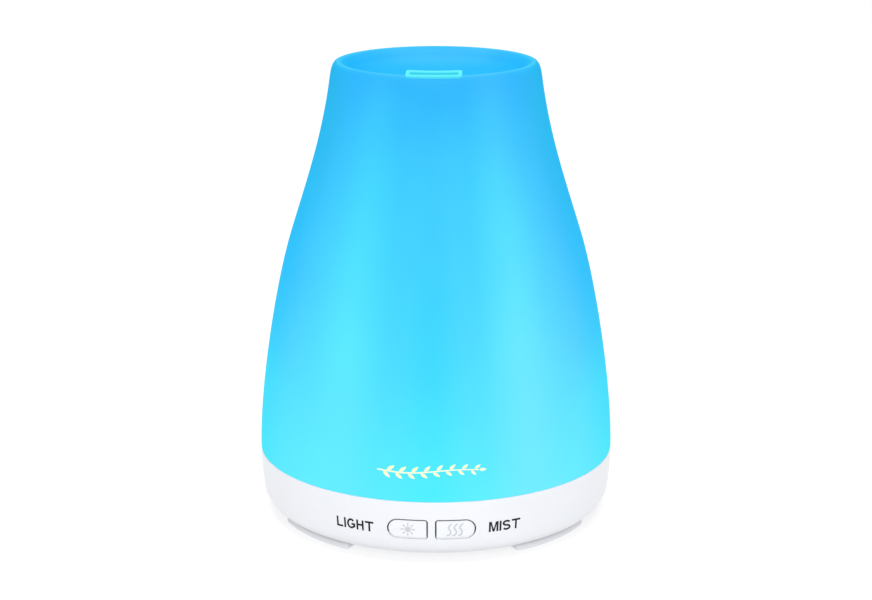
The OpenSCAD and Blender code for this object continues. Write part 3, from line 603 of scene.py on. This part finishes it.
def floor_material():
    """Pale sweep, lit from below as well as above, with a trace of paper tooth."""
    n = Nodes("studio_floor")
    tooth = n.noise(900, 2)
    stops = [(0.3, (0.315, 0.315, 0.32)), (0.7, (0.325, 0.325, 0.33))]
    n.link(n.ramp(tooth, stops), n.shader.inputs["Base Color"])
    n.link(n.spread(tooth, 0.85, 0.95), n.shader.inputs["Roughness"])
    n.constants(Specular_IOR_Level=0.1, Emission_Color=(1.0, 1.0, 1.0), Emission_Strength=0.68)
    return n.material


COVER_MATERIAL = lit_cover()
NOZZLE_MATERIAL = lit_nozzle()
GOLD = printed_gold()
# Painted shade: darker towards the bottom, where the base curves under towards the floor.
SHELL_WHITE = moulded(
    "shell_white", (0.745, 0.755, 0.785), 0.34, depth=3e-6, change=0.01,
    painted_shade=(1.4, 5.5, [(0.0, 0.88), (1.0, 1.0)]),
)
BUTTON_WHITE = moulded("button_white", (0.765, 0.775, 0.805), 0.30, depth=3e-6, change=0.01)
# Painted shadow: a dark grey for the button sides seen down the gap.
GAP_PAINTED_SHADE = moulded("gap_painted_shade", (0.16, 0.16, 0.17), 0.6, depth=3e-6, change=0.05)
# Painted shade: darkest at the top of each pad, in the crease under the base.
FOOT_GREY = moulded(
    "foot_grey", (0.71, 0.72, 0.75), 0.55, grain=2400, depth=8e-6,
    painted_shade=(0, 2.1, [(0.3, 1.0), (0.75, 0.85), (1.0, 0.55)]), Specular_IOR_Level=0.35,
)
CAPTION_BLACK = moulded(
    "caption_black", (0.006, 0.006, 0.007), 0.55, grain=3000, change=0.2, Specular_IOR_Level=0.2
)
ICON_GREY = moulded("icon_grey", (0.52, 0.53, 0.56), 0.45, grain=3000)
BLACK_PLASTIC = moulded("black_plastic", (0.018, 0.018, 0.020), 0.38, grain=2000, depth=8e-6, change=0.15)
STEEL = metal("steel", (0.62, 0.62, 0.64), 0.28)
BRASS = metal("brass", (0.80, 0.62, 0.28), 0.22)

# ------------------------------------------------------------------ cover

def cover_outline():
    """Section of the cover from the middle of its inside, round the seam, to the middle of the dish."""
    inside = [
        *curve(BELLY, 26, COVER_WALL, 1),
        *curve(HOLLOW, 20, COVER_WALL, 1),
        *curve(DISH, 18, COVER_WALL),
    ]
    inside[-1].x = 0
    foot = [
        Vector((SEAM_R - COVER_WALL, SEAM_Z + 0.6)), Vector((SEAM_R - COVER_WALL, SEAM_Z)),
        *arc((SEAM_R - SEAM_ROUND, SEAM_Z + SEAM_ROUND), SEAM_ROUND, -math.pi / 2, 0, 6),
    ]
    outside = [
        *curve(BELLY, 34, 0, 1), *curve(HOLLOW, 26, 0, 1), *curve(SHOULDER, 16, 0, 1),
        *curve(LIP, 14, 0, 1), *curve(DISH, 26, 0, 1),
    ]
    return list(reversed(inside)) + foot + outside


def sector_ring(outer_r, inner_r, half, corner, z):
    """Ring of points at one height: the front stretch between two radii, with round corners."""
    side_steps, corner_steps = 10, 6
    out_mid = Vector((half - corner, -math.sqrt((outer_r - corner) ** 2 - (half - corner) ** 2)))
    in_mid = Vector((half - corner, -math.sqrt((inner_r + corner) ** 2 - (half - corner) ** 2)))
    out_turn = math.atan2(out_mid.y, out_mid.x)
    in_turn = math.atan2(in_mid.y, in_mid.x)
    right = [
        *arc((0, 0), outer_r, -math.pi / 2, out_turn, side_steps)[:-1],
        *arc(out_mid, corner, out_turn, 0, corner_steps)[:-1],
        *arc(in_mid, corner, 0, in_turn + math.pi, corner_steps),
        *arc((0, 0), inner_r, in_turn, -math.pi / 2, side_steps)[1:],
    ]
    left = [Vector((-p.x, p.y)) for p in reversed(right[1:-1])]
    return [Vector((p.x, p.y, z)) for p in right + left]


def cover_shell():
    """The frosted cover in one piece, with the opening that the nozzle fills."""
    shell = new_piece(
        "cover_shell", *revolve(cover_outline(), TURN_STEPS), COVER_MATERIAL, None
    )
    overlap = 0.03
    outline = (
        NOZZLE_FRONT_R - overlap, NOZZLE_BACK_R + overlap, NOZZLE_HALF - overlap,
        NOZZLE_CORNER - overlap,
    )
    below_dish, above_rim = RIDGE_Z - 14, RIDGE_Z + 6
    opening = new_piece(
        "opening",
        *loft([sector_ring(*outline, z) for z in (below_dish, above_rim)], capped=True),
        COVER_MATERIAL, None,
    )
    cut(shell, opening)
    shade(shell.data, 40)
    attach(shell, "cover")
    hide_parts("top_cover", "cover_crown")


def nozzle_frame():
    """Frame round the mist slot, with rounded edges and corners."""
    edge = 0.28
    steps = 5
    top = nozzle_high.z

    def outer(inset, z):
        """Outside of the frame, drawn in by inset."""
        return sector_ring(
            NOZZLE_FRONT_R - inset, NOZZLE_BACK_R + inset, NOZZLE_HALF - inset,
            NOZZLE_CORNER - inset, z,
        )

    def inner(grow, z):
        """The slot, widened by grow."""
        return sector_ring(
            SLOT_FRONT_R + grow, SLOT_BACK_R - grow, SLOT_HALF + grow,
            SLOT_CORNER + grow * 0.8, z,
        )

    turns = [math.pi / 2 * i / steps for i in range(steps + 1)]
    rings = [outer(0, nozzle_low.z)]
    rings += [outer(edge * (1 - math.cos(a)), top - edge + edge * math.sin(a)) for a in turns]
    rings += [
        inner(edge * (1 - math.sin(a)), top - edge + edge * math.cos(a)) for a in turns
    ]
    rings += [inner(0, nozzle_low.z)]
    frame_piece = new_piece("nozzle_frame", *loft(rings, closed=True), NOZZLE_MATERIAL, "cover")
    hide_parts("mist_nozzle")


# ------------------------------------------------------------------ flat marks on the curved sides

def plate(outline, place, thickness=PRINT_THICK):
    """(verts, faces) of a thin plate; place(u, v, lift) gives its points on the side."""
    rings = [[place(u, v, lift) for u, v in outline] for lift in (PRINT_ROOT, thickness)]
    return loft(rings, capped=True)


def stroke(path, half_width, place, thickness=PRINT_THICK, rounded=True):
    """(verts, faces) of a thin stroke along a path of (u, v) points."""
    path = [Vector(p) for p in path]
    last = len(path) - 1
    sections = []
    for i, p in enumerate(path):
        before = (p - path[i - 1]).normalized() if i else None
        after = (path[i + 1] - p).normalized() if i < last else None
        along = ((before or after) + (after or before)).normalized()
        mitre = 1 / max(along.dot(after or before), 0.5)
        width = half_width(i / last) if callable(half_width) else half_width
        sections.append((p, along, width * mitre))
    if rounded:
        sections = round_end(sections[0], -1) + sections + round_end(sections[-1], 1)
    rings = []
    for p, along, width in sections:
        side = Vector((-along.y, along.x)) * width
        left, right = p + side, p - side
        rings.append([
            place(*left, PRINT_ROOT), place(*right, PRINT_ROOT),
            place(*right, thickness), place(*left, thickness),
        ])
    return loft(rings, capped=True)


def round_end(section, way):
    """Narrowing sections that round off a stroke's end."""
    p, along, width = section
    turns = [math.pi / 2 * share for share in (0.35, 0.7, 0.93)]
    ends = [
        (p + along * way * width * math.sin(a), along, width * math.cos(a)) for a in turns
    ]
    return ends if way > 0 else ends[::-1]


def round_from_front(a, radius, z):
    """Point at an angle from the front about the upright axis."""
    return Vector((radius * math.sin(a), -radius * math.cos(a), z))


def on_base(u, v, lift):
    """Point on the base's side: u along the curve from the front, v up."""
    return round_from_front(u / base_radius(BUTTON_Z), base_radius(v) + lift, v)


def on_belly(u, v, lift):
    """Point on the cover's side: u along the curve from the front, v up."""
    radius = belly_radius(v)
    return round_from_front(u / radius, radius + lift, v)


# ------------------------------------------------------------------ captions

CAP_H = 2.9
STEM = 0.5
CAPTION_THICK = 0.06

# Each letter is (plates, strokes, width) for a cap height h and a stem s.


def letter_l(h, s):
    w = 0.66 * h
    return [[(0, 0), (w, 0), (w, s), (s, s), (s, h), (0, h)]], [], w


def letter_i(h, s):
    return [[(0, 0), (s, 0), (s, h), (0, h)]], [], s


def letter_h(h, s):
    w = 0.73 * h
    low, high = h * 0.5 - s * 0.35, h * 0.5 + s * 0.65
    return [[
        (0, 0), (s, 0), (s, low), (w - s, low), (w - s, 0), (w, 0),
        (w, h), (w - s, h), (w - s, high), (s, high), (s, h), (0, h),
    ]], [], w


def letter_t(h, s):
    w = 0.85 * h
    left, right = (w - s) / 2, (w + s) / 2
    return [[
        (left, 0), (right, 0), (right, h - s), (w, h - s), (w, h), (0, h), (0, h - s), (left, h - s),
    ]], [], w


def letter_m(h, s):
    w = 0.91 * h
    half = s * 0.5
    mid = w / 2
    return [[
        (0, 0), (s, 0), (s, h * 0.78), (mid - half, 0), (mid + half, 0), (w - s, h * 0.78), (w - s, 0),
        (w, 0), (w, h), (w - s * 1.4, h), (mid, h * 0.24), (s * 1.4, h), (0, h),
    ]], [], w


def oval(x, y, rx, ry, degrees):
    """Points of an upright ellipse at whole degrees."""
    return [
        (x + rx * math.cos(math.radians(a)), y + ry * math.sin(math.radians(a))) for a in degrees
    ]


def letter_g(h, s):
    w = 0.84 * h
    bowl = oval(w / 2, h / 2, (w - s) / 2, (h - s) / 2, range(42, 319, 12))
    bar = [(w - s / 2, h * 0.24), (w - s / 2, h * 0.47), (w * 0.55, h * 0.47)]
    return [], [bowl + bar], w


def letter_s(h, s):
    w = 0.80 * h
    rx = (w - s) / 2
    ry = (h - s) / 4
    upper = oval(w / 2, h - s / 2 - ry, rx, ry, range(25, 256, 15))
    lower = oval(w / 2, s / 2 + ry, rx, ry, range(75, -156, -15))
    return [], [upper + lower], w


def caption(name, letters, start, end, low):
    """A word of thin letters between two places along the base's side."""
    drawn = [letter(CAP_H, STEM) for letter in letters]
    space = (end - start - sum(width for _, _, width in drawn)) / (len(drawn) - 1)
    meshes = []
    u = start
    for plates, strokes, width in drawn:

        def place(x, y, lift, u=u):
            return on_base(u + x, low + y, lift)

        meshes += [plate(outline, place, CAPTION_THICK) for outline in plates]
        meshes += [stroke(path, STEM / 2, place, CAPTION_THICK, rounded=False) for path in strokes]
        u += width + space
    new_piece(name, *joined(*meshes), CAPTION_BLACK, "base", 30)


# ------------------------------------------------------------------ sprig on the cover

SPRIG_Z = 26.5
SPRIG_HALF = 14.4
SPRIG_SWAY = 0.45


def sprig():
    """A stem with pairs of leaves, printed in pale gold."""
    def stem_at(u):
        return Vector((u, SPRIG_Z + SPRIG_SWAY * math.sin(u / SPRIG_HALF * math.pi)))

    def leaf(root, angle, length, width):
        """Leaf outline: two arcs between its root and its tip."""
        along = Vector((math.cos(angle), math.sin(angle)))
        side = Vector((-along.y, along.x))
        steps = 7
        edge = [
            (t * length, width / 2 * math.sin(math.pi * t ** 0.8))
            for t in (i / steps for i in range(1, steps))
        ]
        upper = [root + along * a + side * b for a, b in edge]
        lower = [root + along * a - side * b for a, b in reversed(edge)]
        return [root, *lower[::-1], root + along * length, *upper[::-1]]

    stem_steps = 40
    stem_length = 2 * SPRIG_HALF * 0.93
    path = [
        stem_at(-SPRIG_HALF + stem_length * i / stem_steps) for i in range(stem_steps + 1)
    ]
    meshes = [stroke(path, lambda t: 0.19 - 0.07 * t, on_belly)]
    pairs = 8
    for i in range(pairs):
        u = -SPRIG_HALF * 0.86 + i * SPRIG_HALF * 1.62 / (pairs - 1)
        size = 1 - 0.25 * i / pairs
        tilt = SPRIG_SWAY / SPRIG_HALF * math.pi * math.cos(u / SPRIG_HALF * math.pi)
        for way in (-1, 1):
            root = stem_at(u + 0.5 * way) + Vector((0, way * 0.22))
            outline = leaf(root, tilt + way * math.radians(38), 2.5 * size, 0.95 * size)
            meshes.append(plate(outline, on_belly))
    tip = stem_at(SPRIG_HALF * 0.88)
    meshes.append(plate(leaf(tip, 0.0, 2.0, 0.8), on_belly))
    new_piece("cover_sprig", *joined(*meshes), GOLD, "cover", 30)


# ------------------------------------------------------------------ base

def base_outline():
    """Closed section of the base shell."""
    outside = base_side(0)
    inside = base_side(BASE_WALL)
    rounded = arc((SEAM_R - SEAM_ROUND, SEAM_Z - SEAM_ROUND), SEAM_ROUND, math.pi / 2, 0, 6)
    wall_r = SEAM_R - BASE_WALL
    bevel = 0.3
    rebate_r = BOTTOM_OPENING_R - 3
    rebate_z = UNDER_Z + 1.2
    floor_z = UNDER_Z + 2
    inside_top = SHELF_Z - 2.2
    shelf_root = SHELF_Z - 1.8
    shelf_under = SHELF_Z - 1.1
    under = [
        (BOTTOM_OPENING_R + bevel, UNDER_Z), (BOTTOM_OPENING_R, UNDER_Z + bevel),
        (BOTTOM_OPENING_R, rebate_z), (rebate_r, rebate_z), (rebate_r, floor_z),
    ]
    shelf = [
        (wall_r, shelf_root), (SHELF_R + bevel, shelf_under), (SHELF_R, shelf_under + bevel),
        (SHELF_R, SHELF_Z - bevel), (SHELF_R + bevel, SHELF_Z), (wall_r, SHELF_Z),
    ]
    return [
        Vector((wall_r, SEAM_Z)), *rounded, *outside[1:], *map(Vector, under),
        *[p for p in reversed(inside) if p.y < inside_top], *map(Vector, shelf),
    ]


def button_ring(side, inset, depth_at, drop=0.0):
    """Ring of points of one button outline; depth_at(x, z) gives each point's y."""
    half = BUTTON_H / 2 - inset
    nick_r = max(BUTTON_NICK - inset, 0.06)
    inner_x = BUTTON_GAP / 2 + inset
    outer_x = BUTTON_GAP / 2 + BUTTON_W - inset
    end = arc((outer_x - half, 0), half, -math.pi / 2, math.pi / 2, 24)
    top = arc((inner_x + nick_r, half - nick_r), nick_r, math.pi / 2, math.pi, 6)
    low = arc((inner_x + nick_r, nick_r - half), nick_r, math.pi, math.pi * 1.5, 6)
    steps = 10
    across = [
        [start.lerp(stop, i / steps) for i in range(1, steps)]
        for start, stop in ((end[-1], top[0]), (low[-1], end[0]))
    ]
    points = [*end, *across[0], *top, *low, *across[1]]
    middle = BUTTON_Z - drop
    return [
        Vector((side * p.x, depth_at(side * p.x, middle + p.y), middle + p.y)) for p in points
    ]


def base_shell():
    """The white base, with the windows for both buttons and the hole for the power inlet."""
    shell = new_piece(
        "base_band", *revolve(base_outline(), TURN_STEPS, closed=True), SHELL_WHITE, None
    )
    cutters = [
        new_piece(
            "window",
            *loft([button_ring(side, -BUTTON_CLEAR, lambda x, z, y=y: y) for y in (-40, -54)], capped=True),
            SHELL_WHITE, None,
        )
        for side in (-1, 1)
    ]
    hole = [
        [
            Vector((p.x, y, INLET_Z + p.y))
            for p in arc((0, 0), INLET_NOSE_R + INLET_CLEAR, 0, 2 * math.pi, 64)[:-1]
        ]
        for y in (40, 56)
    ]
    cutters.append(new_piece("hole", *loft(hole, capped=True), SHELL_WHITE, None))
    cut(shell, *cutters)
    shade(shell.data, 35)
    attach(shell, "base")
    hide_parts("base_shell")


def button_depth(lift):
    """y of a button's face at x and z, lift above it."""
    def depth(x, z):
        radius = base_radius(z) - BUTTON_SET_BACK + lift
        return -math.sqrt(radius ** 2 - x ** 2)
    return depth


def button(side, name, node, icon):
    """A button cap whose face follows the base's side, with a rounded edge and its icon.

    The node's body has the same name as the node.
    """
    edge = 0.3
    steps = 4
    turns = [math.pi / 2 * i / steps for i in range(steps + 1)]
    back = 2.25
    flange = 1
    grow = 0.6
    skirt_depth = 0.2
    skirt_drop = 0.26
    rings = [
        button_ring(side, -grow, button_depth(-back - flange)),
        button_ring(side, -grow, button_depth(-back)),
        button_ring(side, 0, button_depth(-back), skirt_drop),
        button_ring(side, 0, button_depth(-skirt_depth), skirt_drop),
    ]
    rings += [
        button_ring(side, edge * (1 - math.cos(a)), button_depth(edge * (math.sin(a) - 1)))
        for a in turns
    ]
    rings += [button_ring(side, inset, button_depth(0)) for inset in (0.8, 1.4, 2.0, 2.5, 2.75)]
    cap = new_piece(name, *loft(rings, capped=True), BUTTON_WHITE, node)
    cap.data.materials.append(GAP_PAINTED_SHADE)
    # Painted shadow: the sides seen down the gap get the dark grey, but not those along the button's lower
    # edge.
    shaded_from, shaded_above = 0.1, BUTTON_Z - 1
    for face in cap.data.polygons:
        x, y, z = face.center / MM
        depth = base_radius(z) - BUTTON_SET_BACK - math.hypot(x, y)
        if depth > shaded_from and z > shaded_above:
            face.material_index = 1
    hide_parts(node)

    def place(u, v, lift):
        x = side * ICON_X + u
        z = BUTTON_Z - ICON_DROP + v
        return Vector((x, button_depth(lift)(x, z), z))

    new_piece(name + "_icon", *icon(place), ICON_GREY, node, 30)


def sun_icon(place):
    """A disc with eight rays."""
    disc_r = 0.78
    ray_at = (1.15, 1.45, 1.78)
    ray_half = 0.15
    rays = 8
    disc = [tuple(p) for p in arc((0, 0), disc_r, 0, 2 * math.pi, 28)[:-1]]
    meshes = [plate(disc, place)]
    for i in range(rays):
        a = 2 * math.pi / rays * i
        meshes.append(stroke([(r * math.cos(a), r * math.sin(a)) for r in ray_at], ray_half, place))
    return joined(*meshes)


def steam_icon(place):
    """Three wavy lines that rise side by side, each hooked to the left at its foot."""
    spacing = 1.5
    half_width = 0.2
    steps = 5
    knots = [
        Vector(knot) for knot in (
            (0.5, 1.66), (-0.06, 1.12), (-0.25, 0.58), (0.02, 0),
            (0.3, -0.56), (0.2, -1.16), (-0.14, -1.52), (-0.6, -1.64),
        )
    ]
    line = [knots[0]]
    for i in range(1, len(knots)):
        start, end = knots[i - 1], knots[i]
        before, after = knots[max(i - 2, 0)], knots[min(i + 1, len(knots) - 1)]
        line += curve((start, start + (end - before) / 6, end - (after - start) / 6, end), steps, first=1)
    return joined(*(
        stroke([(middle + p.x, p.y) for p in line], half_width, place)
        for middle in (-spacing, 0, spacing)
    ))


def feet():
    """Four curved foot pads with rounded lower edges, tucked under the base."""
    edge = 0.6
    arc_steps = 36
    end_steps = 6
    end_length = end_rise = 0.9
    end_shrink = 0.25
    joint_lap = 0.02
    meshes = []
    spots = (-FOOT_ANGLE, FOOT_ANGLE, 180 - FOOT_ANGLE, 180 + FOOT_ANGLE)

    def under_at(r):
        """Height of the base's underside at a radius."""
        if r < CORNER_MID.x:
            return UNDER_Z
        return CORNER_MID.y - math.sqrt(CORNER_R ** 2 - (r - CORNER_MID.x) ** 2)

    def section(rise, shrink):
        """Closed section of (radius, z); its sole is lifted by rise at the rounded ends."""
        inner, outer = FOOT_INNER_R + shrink, FOOT_OUTER_R - shrink
        corner = min(edge, under_at(outer) - rise - 0.2)
        sole = [
            *arc((inner + corner, rise + corner), corner, math.pi, math.pi * 1.5, 5),
            *arc((outer - corner, rise + corner), corner, -math.pi / 2, 0, 5),
        ]
        top = [
            Vector((r, under_at(r) + joint_lap)) for r in (outer, outer - 1.2, inner + 1.2, inner)
        ]
        return sole + top

    for spot in spots:
        rings = []
        middle = math.radians(spot) - math.pi / 2
        ends = [math.pi / 2 * i / end_steps for i in range(end_steps + 1)]
        end_arc = end_length / FOOT_OUTER_R
        stations = [
            (
                -FOOT_HALF_ARC + end_arc * (1 - math.cos(a)),
                end_rise * (1 - math.sin(a)), end_shrink * (1 - math.sin(a)),
            )
            for a in ends
        ]
        other_end = [(-turn, rise, shrink) for turn, rise, shrink in reversed(stations)]
        flat = FOOT_HALF_ARC - end_arc
        stations += [(-flat + 2 * flat * i / arc_steps, 0, 0) for i in range(1, arc_steps)]
        for turn, rise, shrink in stations + other_end:
            a = middle + turn
            rings.append([
                Vector((p.x * math.cos(a), p.x * math.sin(a), p.y)) for p in section(rise, shrink)
            ])
        meshes.append(loft(rings, capped=True))
    pads = new_piece("foot_ring", *joined(*meshes), FOOT_GREY, "base", 50)
    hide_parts("foot_pads")


# ------------------------------------------------------------------ CAD parts that keep their shape

def dress(material, *nodes):
    """Gives CAD nodes a finished material."""
    for node in nodes:
        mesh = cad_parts[node].data
        mesh.materials.clear()
        mesh.materials.append(material)
        shade(mesh, 35)


def lamp_lens():
    """Lamp lenses that glow as the cover does."""
    n = Nodes("lamp_lens")
    tone = n.ramp(n.noise(1200), [(0.3, (0.75, 0.85, 0.85)), (0.7, (0.9, 0.95, 0.95))])
    n.link(tone, n.shader.inputs["Base Color"])
    n.link(n.spread(n.noise(2600), 0.12, 0.22), n.shader.inputs["Roughness"])
    n.constants(Emission_Color=(0.05, 0.75, 1.0), Emission_Strength=4.0)
    return n.material


def dress_inside():
    """Materials of the tank, the chimney and all that is inside the base."""
    silicone = moulded(
        "silicone", (0.72, 0.73, 0.74), 0.6, Subsurface_Weight=0.2, Subsurface_Scale=0.002
    )
    milky = {"Subsurface_Weight": 0.15, "Subsurface_Scale": 0.002}
    tank = moulded("tank_white", (0.74, 0.76, 0.78), 0.32, change=0.015, **milky)
    chimney = moulded("chimney_frost", (0.45, 0.72, 0.80), 0.4, **milky)
    grey_plastic = moulded("grey_plastic", (0.20, 0.21, 0.22), 0.42, depth=8e-6)
    ivory = moulded("ivory_plastic", (0.72, 0.68, 0.56), 0.42)
    sleeve = moulded("capacitor_sleeve", (0.03, 0.035, 0.09), 0.28, change=0.1)
    dress(tank, "water_tank", "tank_floor", "air_column", "tank_posts", "air_column_cap")
    dress(chimney, "mist_chimney")
    dress(silicone, "tank_gasket", "disc_seal")
    dress(metal("disc_steel", (0.75, 0.74, 0.70), 0.18, 1400), "ultrasonic_disc")
    dress(STEEL, "retainer_screws", "led_board_screws", "bottom_screws", "fan_screws", "board_screws",
          "button_board_screws", "inlet_terminals")
    dress(metal("aluminium", (0.70, 0.71, 0.73), 0.34), "heat_sink", "disc_retainer")
    dress(circuit_board("white_board", (0.72, 0.73, 0.72), (0.62, 0.64, 0.63)), "led_board")
    dress(circuit_board("green_board", (0.010, 0.085, 0.030), (0.020, 0.16, 0.055)), "driver_board",
          "button_board")
    dress(lamp_lens(), "leds")
    dress(SHELL_WHITE, "bottom_cover")
    dress(BLACK_PLASTIC, "fan_frame", "fan_rotor", "controller_chip", "power_transistor", "dc_inlet",
          "light_switch_stem", "mist_switch_stem")
    dress(grey_plastic, "air_duct", "switch_housings")
    dress(ivory, "lead_connectors")
    dress(sleeve, "capacitors")
    dress(wound_copper(), "power_inductor")
    dress(BRASS, "inlet_pin")
    dress(moulded("lead_black", (0.02, 0.02, 0.02), 0.35), "fan_leads", "inlet_leads")
    dress(moulded("lead_red", (0.55, 0.02, 0.015), 0.35), "disc_leads")
    dress(moulded("lead_white", (0.75, 0.75, 0.73), 0.35), "led_leads")
    dress(moulded("lead_blue", (0.02, 0.08, 0.45), 0.35), "button_leads")


# ------------------------------------------------------------------ floor, light and camera

def studio_floor():
    """Plain floor that reaches past the horizon of every view, 24 m across."""
    half = 12000
    corners = [(-half, -half, 0), (half, -half, 0), (half, half, 0), (-half, half, 0)]
    floor = new_piece("studio_floor", corners, [(0, 1, 2, 3)], floor_material(), None)


def softbox(name, place, target, size, power):
    """Rectangular area light, in metres and watts, turned to the target."""
    light = bpy.data.lights.new(name, "AREA")
    light.shape = "RECTANGLE"
    light.size, light.size_y = size
    light.energy = power
    obj = bpy.data.objects.new(name, light)
    bpy.context.scene.collection.objects.link(obj)
    obj.location = place
    obj.rotation_euler = (Vector(target) - Vector(place)).to_track_quat("-Z", "Y").to_euler()
    obj.visible_camera = False


def strip(name, azimuth, power):
    """Tall softbox on the floor at an angle from the front, positive to the right."""
    a = math.radians(azimuth)
    away, height = 0.95, 0.46
    place = (away * math.sin(a), -away * math.cos(a), height)
    softbox(name, place, (0, 0, height), (0.34, 0.9), power)


def studio_light():
    """Even pale surroundings, a box above, a box in front and a strip on either side."""
    world = bpy.data.worlds.new("studio")
    world.use_nodes = True
    sky = world.node_tree.nodes["Background"]
    sky.inputs["Color"].default_value = (1.0, 1.0, 1.0, 1)
    sky.inputs["Strength"].default_value = 0.5
    bpy.context.scene.world = world
    softbox("top_box", (0, 0.1, 1.6), (0, 0, 0), (1.4, 1.4), 24)
    softbox("front_box", (0, -1.4, 0.9), (0, 0, 0.03), (0.8, 0.8), 10)
    strip("left_strip", -60, 1.1)
    strip("right_strip", 60, 1.2)


def photo_camera():
    """Camera at the photograph's angle: just right of the front, looking down on the dish."""
    distance, height = 0.5487, 0.2109
    turn, pitch = math.radians(1.4), math.radians(15.41)
    data = bpy.data.cameras.new("photo_camera")
    data.lens = 83.31
    data.sensor_width = 36
    obj = bpy.data.objects.new("photo_camera", data)
    bpy.context.scene.collection.objects.link(obj)
    obj.location = (distance * math.sin(turn), -distance * math.cos(turn), height)
    obj.rotation_euler = (math.pi / 2 - pitch, 0, turn)
    bpy.context.scene.camera = obj


cover_shell()
nozzle_frame()
sprig()
base_shell()
button(-1, "light_cap", "light_button", sun_icon)
button(1, "mist_cap", "mist_button", steam_icon)
caption(
    "caption_light", [letter_l, letter_i, letter_g, letter_h, letter_t],
    start=-26.85, end=-15.75, low=8.4,
)
caption("caption_mist", [letter_m, letter_i, letter_s, letter_t], start=15.5, end=24.5, low=8.7)
feet()
dress_inside()
studio_floor()
studio_light()
photo_camera()
bpy.context.scene.view_settings.view_transform = "Standard"
